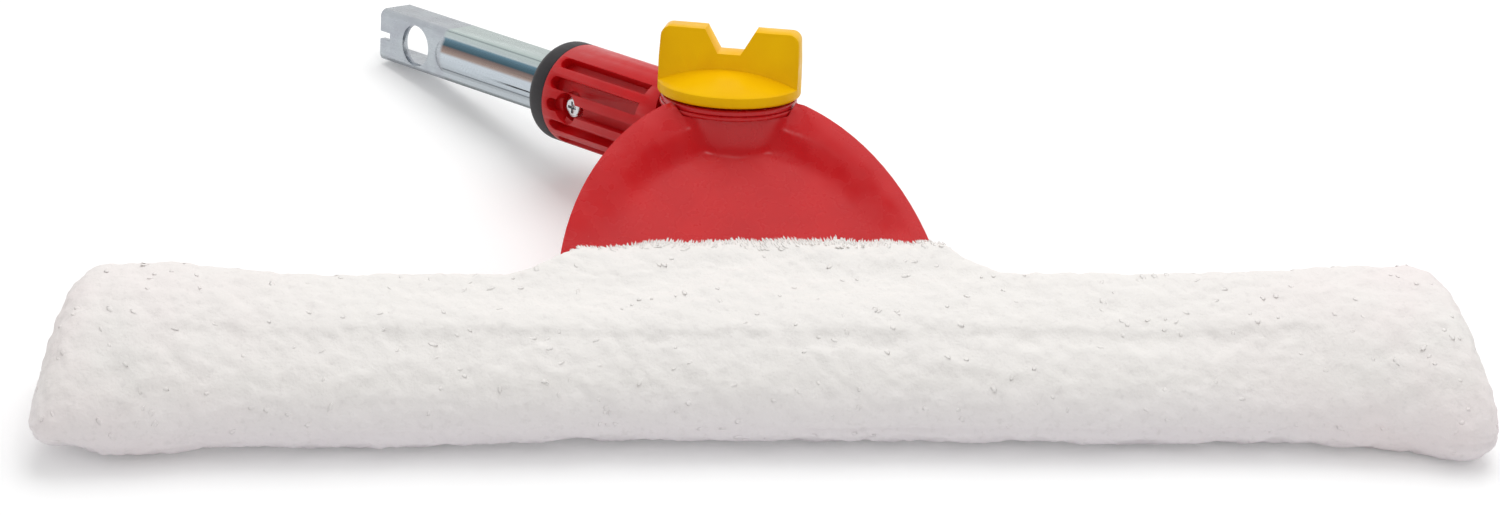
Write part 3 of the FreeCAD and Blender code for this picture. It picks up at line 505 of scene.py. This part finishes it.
def oval_reach(angle, depth, thickness, power=OVAL_POWER):
    """Distance from the middle to a rounded oval, in the direction angle, where 0 is up the plate."""
    across = np.abs(np.cos(angle)) / (depth / 2)
    up = np.abs(np.sin(angle)) / (thickness / 2)
    return (across ** power + up ** power) ** (-1 / power)


def mouth_gap(along):
    """Half the height of the mouth, which closes at both its ends."""
    share = np.clip(np.abs(along) / MOUTH_HALF, 0, 1)
    return MOUTH_GAP * np.sqrt(1 - share ** 8)


def hump_top(along):
    """How far the hump climbs the plate at each place along the bar: highest in the middle."""
    crown = HUMP_CROWN * np.clip(1 - (along / MOUTH_HALF) ** 2, 0, None)
    fall = np.where(along < 0, smooth_step(-along, *LEFT_HUMP_SIDE), smooth_step(along, *RIGHT_HUMP_SIDE))
    return DEPTH / 2 + (HUMP_TOP - DEPTH / 2 + HUMP_TILT * along) * (1 - fall) + crown


def hump_reach(angle, along):
    """Distance to the hump of pile on the plate. It only exists on the plate's side."""
    side = np.clip(np.cos(angle), LEAST_COSINE, None)
    roof = HUMP_FOOT_RISE / (np.abs(np.sin(angle)) + HUMP_DRAFT * side)
    return np.where(np.cos(angle) > LEAST_COSINE, soft_min(roof, hump_top(along) / side, HUMP_BLEND), 1.0)


print("sleeve", round(2 * HALF_LENGTH), "mm long,", DEPTH, "mm deep,", THICKNESS, "mm thick")

# %% [markdown]
# ## The fleece sleeve: a grid wrapped round the bar
#
# The mesh is a grid of rings, one every few millimetres along the bar, and each end is closed by rings
# that shrink. Every ring starts and stops at the mouth, so the grid is slit open there. The function
# takes the ring's form from outside, because the skin and the lining are the same grid on two forms.

# %% Rings round the bar
ROUND_STEPS = 42
LINING_STEPS = 12
RING_PITCH = 4.0
CAP_STEPS = 6
OUTLINE_SAMPLES = 2000
PLATE_FROM, PLATE_TO = 12, 30
SLANT_FROM = 0.55


def even_angles(reach, steps):
    """Shares of the turn that cut the outline reach(angle) into equal lengths."""
    angle = np.linspace(0, 2 * math.pi, OUTLINE_SAMPLES)
    far = reach(angle)
    x, y = far * np.cos(angle), far * np.sin(angle)
    length = np.concatenate([[0], np.cumsum(np.hypot(np.diff(x), np.diff(y)))])
    return np.interp(np.linspace(0, length[-1], steps + 1), length, angle) / (2 * math.pi)


def ring_places(half):
    """Places of the rings along the bar, with one exactly at each end of the mouth."""
    middle = np.linspace(-MOUTH_HALF, MOUTH_HALF, 2 * round(MOUTH_HALF / RING_PITCH) + 1)
    outer = np.linspace(MOUTH_HALF, half, round((half - MOUTH_HALF) / RING_PITCH) + 1)[1:]
    return np.concatenate([-outer[::-1], middle, outer])


def wrapped_grid(half, depth, thickness, bulge, shares, hump):
    """A ring of points round the bar at each place, closed by a bulging cap at both ends."""
    body = ring_places(half)
    turn = np.linspace(0, math.pi / 2, CAP_STEPS + 1)[1:]
    power = 2 / END_BULGE_SHARPNESS
    shrink = 1 - np.cos(turn) ** power
    push = bulge * np.sin(turn) ** power
    along = np.concatenate([-(half + push[::-1]), body, half + push])
    shrunk = np.concatenate([shrink[::-1], np.zeros_like(body), shrink]) * thickness / 2
    x, share = np.meshgrid(along, shares, indexing="ij")
    lost = 2 * np.broadcast_to(shrunk[:, None], x.shape)
    gap = mouth_gap(x)
    start = np.arctan2(gap, hump_top(x))
    angle = start + (2 * math.pi - 2 * start) * share
    reach = hump(angle, x, gap, oval_reach(angle, depth, thickness))
    up_plate = reach * np.cos(angle) * (1 - lost / depth)
    out = reach * np.sin(angle) * (1 - lost / thickness)
    out += PLATE_MIDDLE * smooth_step(up_plate, PLATE_FROM, PLATE_TO)
    slant = np.where(x < 0, LEFT_SLANT, RIGHT_SLANT) * np.clip(up_plate / (DEPTH / 2), -1, 1)
    slant *= smooth_step(np.abs(x), SLANT_FROM * half, half)
    return np.stack([x - np.sign(x) * slant, up_plate, out], axis=-1)


print("rings along half the bar:", len(ring_places(HALF_LENGTH - END_BULGE)) // 2)

# %% [markdown]
# ## The fleece sleeve: skin and lining
#
# The skin sags to the floor and is fuller over the ends of the bar. The lining follows the bar and runs
# out along the plate. Both share the edge of the mouth, so that after a merge the sleeve is one closed
# bag, as the real one is. The lining's points go into the group "held", which the steps below leave alone.

# %% Join skin and lining
MERGE_REACH = 0.05
LINING_BULGE = 2.0
END_FULLNESS, END_LOPSIDE = 0.6, 0.4
TUCK_SPAN = (30, 115)


def outer_hump(angle, x, gap, oval):
    """The skin: it sags to the floor, is fuller over the ends, and climbs the plate in a hump."""
    uneven = 1 - smooth_step(np.abs(x), HALF_LENGTH - END_BULGE, HALF_LENGTH)
    sag = BELLY * uneven * np.clip(-np.sin(angle), 0, 1) ** 2
    full = END_GIRTH * smooth_step(np.abs(x), *END_GIRTH_SPAN)
    full *= END_FULLNESS + END_LOPSIDE * uneven * np.sin(angle)
    tuck = MIDDLE_TUCK * (1 - smooth_step(np.abs(x), *TUCK_SPAN)) * np.clip(-np.cos(angle), 0, 1)
    skin = oval * (1 + full - tuck) + sag - FRONT_SHIFT * np.cos(angle)
    return soft_max(skin, hump_reach(angle, x), HUMP_BLEND)


def lining_channel(angle, x, gap, oval):
    """The lining follows the bar, and runs out along both faces of the plate to the mouth's edge."""
    side = np.clip(np.cos(angle), LEAST_COSINE, None)
    channel = np.minimum(gap / np.clip(np.abs(np.sin(angle)), 1e-6, None), hump_top(x) / side)
    reach = np.where(np.cos(angle) > LEAST_COSINE, np.maximum(oval, channel), oval)
    at_mouth = np.abs(x[:, 0]) < MOUTH_HALF + 0.01
    for edge in (0, -1):
        reach[at_mouth, edge] = (hump_top(x) / side)[at_mouth, edge]
    return reach


def add_grid(mesh, points, flip):
    """Put a grid of points into a bmesh, with its faces turned outwards, or inwards if flip is set."""
    rings = [[mesh.verts.new(Vector(point) * MM) for point in ring] for ring in points]
    for one, two in zip(rings, rings[1:]):
        for number in range(len(one) - 1):
            face = (one[number], one[number + 1], two[number + 1], two[number])
            mesh.faces.new(face[::-1] if flip else face)
    return rings


mid_bar = np.zeros(OUTLINE_SAMPLES)
outer_shares = even_angles(
    lambda angle: soft_max(oval_reach(angle, DEPTH, THICKNESS), hump_reach(angle, mid_bar), HUMP_BLEND),
    ROUND_STEPS)
lining_shares = even_angles(lambda angle: oval_reach(angle, BAR_ROOM_DEPTH, BAR_ROOM_THICKNESS),
                            LINING_STEPS)
outer_points = wrapped_grid(HALF_LENGTH - END_BULGE, DEPTH, THICKNESS, END_BULGE, outer_shares, outer_hump)
lining_points = wrapped_grid(BAR_ROOM_HALF, BAR_ROOM_DEPTH, BAR_ROOM_THICKNESS, LINING_BULGE,
                             lining_shares, lining_channel)

bag = bmesh.new()
held_layer = bag.verts.layers.deform.verify()
add_grid(bag, outer_points, flip=False)
for ring in add_grid(bag, lining_points, flip=True):
    for vertex in ring:
        vertex[held_layer][0] = 1.0
bmesh.ops.remove_doubles(bag, verts=bag.verts, dist=MERGE_REACH * MM)
open_edges = [edge for edge in bag.edges if not edge.is_manifold]
print("sleeve cage:", len(bag.faces), "faces,", len(open_edges), "open or folded edges,",
      round(bag.calc_volume(signed=True) / MM ** 3), "mm3")
bag.transform(head_frame)
sleeve_mesh = bpy.data.meshes.new("fleece_sleeve")
bag.to_mesh(sleeve_mesh)
bag.free()
sleeve = bpy.data.objects.new("fleece_sleeve", sleeve_mesh)
sleeve.vertex_groups.new(name="held")
bpy.context.collection.objects.link(sleeve)

# %% [markdown]
# ## The fleece sleeve: how it was put on
#
# Somebody pulled this sleeve over the bar by hand, so its two ends differ. The left one is pushed in a
# little and its lower corner stands off the floor. The right one is pulled forwards into a small fold.
# Over both ends of the bar the fleece is lifted, because the cap inside is stiffer than the pile.

# %% Settle the two ends
LEFT_PUSH = 3.4
LEFT_LIFT = 3.4
RIGHT_STRETCH = 2.7
RIGHT_PULL = 4.0
CAP_LIFT = 1.6
CAP_PLACE, CAP_SPAN = 150.0, 26
FOLD_SPAN = (161, 169)
LOW_SPAN, FRONT_SPAN, HIGH_SPAN = (2, 22), (8, 34), (14, 30)
END_FROM = 60
CORNER_SPAN = (158, HALF_LENGTH - 2)


def settled(points):
    """The sleeve's points, in millimetres in the world, with its ends as the hand left them."""
    x, y, z = points.T
    low = 1 - smooth_step(z, *LOW_SPAN)
    front = 1 - smooth_step(y - y.min(), *FRONT_SPAN)
    left, right = smooth_step(-x, END_FROM, HALF_LENGTH), smooth_step(x, END_FROM, HALF_LENGTH)
    fold = smooth_step(x, *FOLD_SPAN)
    bump = np.exp(-((np.abs(x) - CAP_PLACE) / CAP_SPAN) ** 2) * smooth_step(z, *HIGH_SPAN)
    return np.stack([
        x + LEFT_PUSH * left + RIGHT_STRETCH * right,
        y - RIGHT_PULL * fold * low * front,
        z + LEFT_LIFT * smooth_step(-x, *CORNER_SPAN) * low + CAP_LIFT * bump], axis=-1)


def vertex_places(mesh):
    """The places of all vertices, as one row of three for each."""
    places = np.zeros(len(mesh.vertices) * 3)
    mesh.vertices.foreach_get("co", places)
    return places.reshape(-1, 3)


def set_places(mesh, places):
    mesh.vertices.foreach_set("co", places.ravel())
    mesh.update()


set_places(sleeve_mesh, settled(vertex_places(sleeve_mesh) / MM) * MM)
print("settled", len(sleeve_mesh.vertices), "points")

# %% [markdown]
# ## The fleece sleeve: a short cloth simulation
#
# A rule gives a shape that is too even. Real fleece is a little too large for what it covers, so it
# puffs out and buckles. A cloth simulation finds that by itself: the lining is held where it is, the
# skin grows by a little under one per cent, and a light pressure pushes it out. No point may move more
# than a set distance, so that the sleeve keeps its size.

# %% Puff the fleece out
PUFF_FRAMES = 20
PUFF_PRESSURE = 0.25
PUFF_GROWTH = 0.008
PUFF_CAP = 0.9 * MM
CLOTH_QUALITY = 5
CLOTH_MASS = 0.3


def puffed(piece):
    """Where the simulation takes each vertex of piece, with no move longer than the cap."""
    at_rest = vertex_places(piece.data)
    cloth = piece.modifiers.new("puff", "CLOTH")
    cloth.settings.quality = CLOTH_QUALITY
    cloth.settings.mass = CLOTH_MASS
    cloth.settings.use_pressure = True
    cloth.settings.uniform_pressure_force = PUFF_PRESSURE
    cloth.settings.shrink_min = -PUFF_GROWTH
    cloth.settings.vertex_group_mass = "held"
    cloth.settings.effector_weights.gravity = 0
    cloth.collision_settings.use_collision = False
    cloth.point_cache.frame_end = PUFF_FRAMES
    for number in range(1, PUFF_FRAMES + 1):
        bpy.context.scene.frame_set(number)
    evaluated = piece.evaluated_get(bpy.context.evaluated_depsgraph_get())
    moves = vertex_places(evaluated.data) - at_rest
    piece.modifiers.remove(cloth)
    bpy.context.scene.frame_set(1)
    length = np.linalg.norm(moves, axis=1, keepdims=True)
    print("puffed by up to", round(length.max() / MM, 2), "mm, on average", round(length.mean() / MM, 2))
    return at_rest + moves * np.minimum(1, PUFF_CAP / np.maximum(length, 1e-9))


set_places(sleeve_mesh, puffed(sleeve))

# %% [markdown]
# ## The fleece sleeve: pile
#
# Fleece is made by brushing a knit until its loops stand up and tangle. The tangle has clumps: broad
# soft swells, lumps as wide as a fingertip's ridges, and fine crumbs. Each is a noise at its own size,
# added along the surface's normal after two rounds of subdivision. Just above the floor the pile is
# combed into short wisps, and a crease runs along the front there, where the tube was folded in its
# packet. In PILE, each entry is a spot size, a stretch along the bar and a depth.

# %% Grow the pile
SUBDIVISIONS = 2
PILE = ((30.0, 1.0, 0.42), (9.0, 1.0, 0.22), (4.2, 1.0, 0.24), (2.1, 1.0, 0.18), (3.0, 3.5, 0.26))
WISP_TOP = 14.0
CREASE_SHARE, CREASE_CHANGE = 0.65, 0.9
CREASE_WAVE, CREASE_PATCH = 45.0, 60.0
SEED_STEP = 17.3
CREASE_LEVEL, CREASE_WIDTH, CREASE_DEPTH, CREASE_WANDER = 8.6, 0.9, 0.9, 0.9


def refined(piece, levels):
    """Subdivide piece smoothly and keep the result as its plain mesh."""
    piece.modifiers.new("refine", "SUBSURF").levels = levels
    fine = bpy.data.meshes.new_from_object(piece.evaluated_get(bpy.context.evaluated_depsgraph_get()))
    piece.modifiers.clear()
    piece.data = fine
    return fine


def vertex_normals(mesh):
    normals = np.zeros(len(mesh.vertices) * 3)
    mesh.vertices.foreach_get("normal", normals)
    return normals.reshape(-1, 3)


def field(places, size, stretch, seed):
    """A smooth noise between -1 and 1 at each place, with spots size wide and stretched along the bar."""
    scaled = places / (size * np.array([stretch, 1, 1])) + SEED_STEP * seed
    return np.array([noise.noise(Vector(place)) for place in scaled])


def wave(places, size, seed):
    """A smooth noise that changes only along the bar."""
    return field(places * [1, 0, 0], size, 1.0, seed)


def group_weights(piece, mesh, group):
    """The weight of each vertex in a vertex group of piece."""
    number = piece.vertex_groups[group].index
    weights = np.zeros(len(mesh.vertices))
    for vertex in mesh.vertices:
        for member in vertex.groups:
            if member.group == number:
                weights[vertex.index] = member.weight
    return weights


fleece_mesh = refined(sleeve, SUBDIVISIONS)
places = vertex_places(fleece_mesh) / MM
normals = vertex_normals(fleece_mesh)
to_head = np.array(head_frame.inverted())
in_head = places @ to_head[:3, :3].T + to_head[:3, 3] / MM
free = 1 - group_weights(sleeve, fleece_mesh, "held")
height = np.zeros(len(places))
for seed, (size, stretch, depth) in enumerate(PILE):
    where = 1.0 if stretch == 1 else 1 - smooth_step(places[:, 2], 2, WISP_TOP)
    height += depth * where * 2 * field(places, size, stretch, seed)
wander = CREASE_WANDER * wave(places, CREASE_WAVE, 33)
strength = np.clip(CREASE_SHARE + CREASE_CHANGE * wave(places, CREASE_PATCH, 34), 0, 1) * (in_head[:, 1] < 0)
crease = strength * np.exp(-((places[:, 2] - CREASE_LEVEL - wander) / CREASE_WIDTH) ** 2)
height -= CREASE_DEPTH * crease
places += normals * (height * free)[:, None]
print("pile from", round(height.min(), 2), "to", round(height.max(), 2), "mm")

# %% [markdown]
# ## The fleece sleeve: mouth and floor
#
# At the mouth the knit is cut and hemmed by hand, so its edge wavers over the plate. Under the sleeve the
# pile is pressed flat by the weight of the tool. A soft maximum does that: it lifts what would lie below
# the floor and rounds the way out of the flat, which a plain cut would leave as a sharp edge.

# %% Rag the mouth and flatten the underside
RAGGED_EDGE = 0.5
LIP_SPAN = 4
THREAD_SIZE, STITCH_SIZE = 2.6, 6.0
FLOOR_SKIN = 0.04
FLOOR_BLEND = 1.6

lip = free * smooth_step(in_head[:, 1], HUMP_TOP - LIP_SPAN, HUMP_TOP)
ragged = 0.6 * wave(places, THREAD_SIZE, 31) + 0.4 * wave(places, STITCH_SIZE, 32)
up_plate = np.array(head_frame.to_3x3().col[1])
places += (RAGGED_EDGE * lip * ragged)[:, None] * up_plate

places[:, 2] = soft_max(places[:, 2], np.full(len(places), FLOOR_SKIN), FLOOR_BLEND)
set_places(fleece_mesh, places * MM)
for polygon in fleece_mesh.polygons:
    polygon.use_smooth = True
print("fleece:", len(fleece_mesh.polygons), "faces, lowest", round(places[:, 2].min(), 2), "mm")

# %% [markdown]
# ## The fleece sleeve: its colour
#
# Wool white is not white. This one is a little warm on top, and low down it is painted a faintly pink,
# lilac white: painted light and shade, standing in for the fill light and the cool shade near the floor.
# There is a blush near both ends of this sleeve. Between the clumps the colour is darkened: painted shade
# for the eye looking a millimetre deep into the pile. The height and the distance from the middle are
# read from Object coordinates, so the colours belong to the sleeve and not to the camera. A little sheen
# gives the soft bright rim that fibres have.

# %% Fleece finish
TOP_WOOL = (0.905, 0.878, 0.850)
LOW_WOOL_PAINTED_FILL = (0.925, 0.872, 0.905)
BLUSH = (0.915, 0.820, 0.815)
PAINTED_PIT_SHADE = (0.66, 0.62, 0.61)
PAINTED_FILL_HEIGHTS = (0.003, 0.020)
BLUSH_PLACES = (0.10, 0.17)
PIT_SIZE, PIT_SHARE = 1.7, 0.24
CLUMP_SIZE, CLUMP_DEPTH, CLUMP_STRENGTH = 2.6, 0.4, 0.5
CRUMB_SIZE, CRUMB_DEPTH, CRUMB_STRENGTH = 0.8, 0.22, 0.7
BLUSH_SIZE, BLUSH_SHARE = 28, 0.7
FIBRE_ROUGHNESS, FIBRE_SPECULAR = 0.95, 0.15
SHEEN, SHEEN_ROUGHNESS = 0.12, 0.5


def fleece_finish():
    material, tree, shader, place = start_finish("white_fleece")
    parts = add(tree, "ShaderNodeSeparateXYZ", Vector=place)
    far = add(tree, "ShaderNodeMath", i0=parts.outputs["X"])
    far.operation = "ABSOLUTE"
    # Painted light and shade: the colour changes from a warm white on top to a pink-lilac white near the floor,
    # standing in for fill light and cool shade low on the sleeve.
    wool = mixed(tree, spread(tree, parts.outputs["Z"], 1.0, 0.0, *PAINTED_FILL_HEIGHTS), TOP_WOOL, LOW_WOOL_PAINTED_FILL)
    near_ends = spread(tree, far.outputs[0], 0.0, BLUSH_SHARE, *BLUSH_PLACES)
    cloud = spread(tree, spots(tree, place, BLUSH_SIZE), 0.0, 1.0)
    patches = add(tree, "ShaderNodeMath", i0=near_ends, i1=cloud)
    patches.operation = "MULTIPLY"
    wool = mixed(tree, patches.outputs[0], wool, BLUSH)
    # Painted shade: the hollows between the clumps are darkened towards grey, standing in for the shade a
    # millimetre deep in the pile.
    pit_shade = spread(tree, spots(tree, place, PIT_SIZE, 3.0), 0.0, PIT_SHARE, 0.56, 0.74)
    tree.links.new(mixed(tree, pit_shade, wool, PAINTED_PIT_SHADE), shader.inputs["Base Color"])
    clumps = bumped(tree, shader, spots(tree, place, CLUMP_SIZE, 2.0), CLUMP_DEPTH, CLUMP_STRENGTH)
    bumped(tree, shader, spots(tree, place, CRUMB_SIZE, 3.0), CRUMB_DEPTH, CRUMB_STRENGTH, under=clumps)
    shader.inputs["Roughness"].default_value = FIBRE_ROUGHNESS
    shader.inputs["Specular IOR Level"].default_value = FIBRE_SPECULAR
    shader.inputs["Sheen Weight"].default_value = SHEEN
    shader.inputs["Sheen Roughness"].default_value = SHEEN_ROUGHNESS
    return material


white_fleece = fleece_finish()
print("fleece finish:", len(white_fleece.node_tree.nodes), "nodes")
fleece_mesh.materials.clear()
fleece_mesh.materials.append(white_fleece)

# %% [markdown]
# ## The fleece sleeve: tufts
#
# Some of the pile ends in small twisted tufts. They break up the outline, and at the mouth they lie over
# the red plate as a ragged fringe. Modelling one and copying it by hand would take days, so Geometry
# Nodes do it: points are scattered over the sleeve, a grain-shaped tuft stands on each, and it leans the
# way the pile was combed. Three attributes of the mesh steer this: how dense the tufts are at each
# place, how slim they are, and which way they lie.

# %% Geometry Nodes for the tufts
LUCK = (0.55, 1.25)


def set_attribute(mesh, name, kind, values):
    attribute = mesh.attributes.new(name, kind, "POINT")
    attribute.data.foreach_set("vector" if kind == "FLOAT_VECTOR" else "value", np.ravel(values))


def unit(vectors):
    return vectors / np.maximum(np.linalg.norm(vectors, axis=1, keepdims=True), 1e-9)


def tuft_tree():
    """Geometry Nodes that scatter grain-shaped tufts over a mesh."""
    tree = bpy.data.node_groups.new("tufts", "GeometryNodeTree")
    wanted = (("Geometry", "Geometry"), ("Tufts per square metre", "Float"), ("Length", "Float"),
              ("Width", "Float"), ("Flatness", "Float"), ("Seed", "Int"), ("Material", "Material"))
    for name, kind in wanted:
        tree.interface.new_socket(name, in_out="INPUT", socket_type="NodeSocket" + kind)
    tree.interface.new_socket("Geometry", in_out="OUTPUT", socket_type="NodeSocketGeometry")
    given = tree.nodes.new("NodeGroupInput").outputs
    named = {}
    for name, kind in (("tuft_share", "FLOAT"), ("tuft_slimness", "FLOAT"), ("tuft_lay", "FLOAT_VECTOR")):
        node = add(tree, "GeometryNodeInputNamedAttribute", Name=name)
        node.data_type = kind
        named[name] = node.outputs["Attribute"]
    density = add(tree, "ShaderNodeMath", i0=given["Tufts per square metre"], i1=named["tuft_share"])
    density.operation = "MULTIPLY"
    points = add(tree, "GeometryNodeDistributePointsOnFaces", Mesh=given["Geometry"],
                 Density=density.outputs[0], Seed=given["Seed"])
    grain = add(tree, "GeometryNodeMeshIcoSphere", Radius=0.5, Subdivisions=1)
    width = add(tree, "ShaderNodeMath", i0=given["Width"], i1=named["tuft_slimness"])
    width.operation = "MULTIPLY"
    thick = add(tree, "ShaderNodeMath", i0=width.outputs[0], i1=given["Flatness"])
    thick.operation = "MULTIPLY"
    size = add(tree, "ShaderNodeCombineXYZ", X=width.outputs[0], Y=thick.outputs[0], Z=given["Length"])
    luck = add(tree, "FunctionNodeRandomValue", Seed=given["Seed"])
    luck.data_type = "FLOAT_VECTOR"
    luck.inputs["Min"].default_value, luck.inputs["Max"].default_value = (LUCK[0],) * 3, (LUCK[1],) * 3
    scaled = add(tree, "ShaderNodeVectorMath", i0=size.outputs[0], i1=luck.outputs["Value"])
    scaled.operation = "MULTIPLY"
    lean = add(tree, "FunctionNodeAlignRotationToVector", Vector=named["tuft_lay"])
    lean.axis = "Z"
    flat = add(tree, "FunctionNodeAlignRotationToVector", Rotation=lean.outputs[0],
               Vector=points.outputs["Normal"])
    flat.axis, flat.pivot_axis = "Y", "Z"
    stood = add(tree, "GeometryNodeInstanceOnPoints", Points=points.outputs["Points"],
                Instance=grain.outputs["Mesh"], Rotation=flat.outputs[0], Scale=scaled.outputs[0])
    real = add(tree, "GeometryNodeRealizeInstances", Geometry=stood.outputs[0])
    smooth = add(tree, "GeometryNodeSetShadeSmooth", Geometry=real.outputs[0])
    painted = add(tree, "GeometryNodeSetMaterial", Geometry=smooth.outputs[0], Material=given["Material"])
    tree.links.new(painted.outputs[0], tree.nodes.new("NodeGroupOutput").inputs[0])
    return tree


def grown(name, source, tree, values):
    """A plain mesh of what the tree makes on a copy of source. values are the tree's inputs, by name."""
    piece = bpy.data.objects.new(name, source.data.copy())
    bpy.context.collection.objects.link(piece)
    maker = piece.modifiers.new(name, "NODES")
    maker.node_group = tree
    for item in tree.interface.items_tree:
        if item.in_out == "INPUT" and item.name in values:
            maker[item.identifier] = values[item.name]
    made = bpy.data.meshes.new_from_object(piece.evaluated_get(bpy.context.evaluated_depsgraph_get()))
    piece.modifiers.clear()
    piece.data = made
    return piece


print("tufts vary from", LUCK[0], "to", LUCK[1], "times their size")

# %% [markdown]
# ## The fleece sleeve: planting
#
# The comb's direction is a slow swirl over the sleeve, turned along the bar near the floor. It is laid
# flat on the surface and then raised a little, so that a tuft's tip stands free. Along the mouth the
# tufts are slim, dense and point up the plate. Where the floor presses on the sleeve none are planted.

# %% Plant the tufts
TUFTS_PER_MM2 = 0.012
TUFT_LENGTH, TUFT_WIDTH, TUFT_FLATNESS = 2.3, 1.4, 0.13
SWIRL_SIZE, SWIRL_STRENGTH = 22.0, 2.2
TUFT_RISE = 0.12
FRINGE_DENSITY = 136.0
FRINGE_SLIMNESS = 0.38
FRINGE_DEPTH = 1.6
FRINGE_SPREAD = 0.35
TUFT_FLOOR = 0.02
BARE_SPAN = (1.0, 2.5)
TUFT_SEED = 5

outward = vertex_normals(fleece_mesh)
swirl = np.stack([field(places, SWIRL_SIZE, 1.0, seed) for seed in (41, 42, 43)], axis=-1) * SWIRL_STRENGTH
low_down = (1 - smooth_step(places[:, 2], 4, WISP_TOP))[:, None]
comb = swirl * (1 - low_down) + np.sign(swirl[:, :1] + 0.01) * [1.0, 0.0, 0.0] * low_down
lay = unit(unit(comb - outward * np.sum(comb * outward, axis=1, keepdims=True)) + TUFT_RISE * outward)
fringe = lip * (in_head[:, 1] > HUMP_TOP - FRINGE_DEPTH)
lay = unit(lay * (1 - fringe[:, None]) + (unit(lay) * FRINGE_SPREAD + up_plate) * fringe[:, None])
off_floor = smooth_step(places[:, 2], *BARE_SPAN) * (1 - crease)
set_attribute(fleece_mesh, "tuft_share", "FLOAT", (free > 0.99) * off_floor * (1 + FRINGE_DENSITY * fringe))
set_attribute(fleece_mesh, "tuft_slimness", "FLOAT", 1 - (1 - FRINGE_SLIMNESS) * fringe)
set_attribute(fleece_mesh, "tuft_lay", "FLOAT_VECTOR", lay)
tufts = grown("fleece_tufts", sleeve, tuft_tree(), {
    "Tufts per square metre": TUFTS_PER_MM2 / MM ** 2, "Length": TUFT_LENGTH * MM, "Width": TUFT_WIDTH * MM,
    "Flatness": TUFT_FLATNESS, "Seed": TUFT_SEED, "Material": white_fleece})
tuft_places = vertex_places(tufts.data)
tuft_places[:, 2] = np.maximum(tuft_places[:, 2], TUFT_FLOOR * MM)
set_places(tufts.data, tuft_places)
for name in ("tuft_share", "tuft_slimness", "tuft_lay"):
    for mesh in (fleece_mesh, tufts.data):
        if name in mesh.attributes:
            mesh.attributes.remove(mesh.attributes[name])
print("tufts:", len(tufts.data.polygons), "faces")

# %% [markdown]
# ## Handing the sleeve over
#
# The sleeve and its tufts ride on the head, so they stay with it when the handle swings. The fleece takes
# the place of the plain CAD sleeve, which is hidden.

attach(tufts, "head")
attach(sleeve, "head")
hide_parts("sleeve")
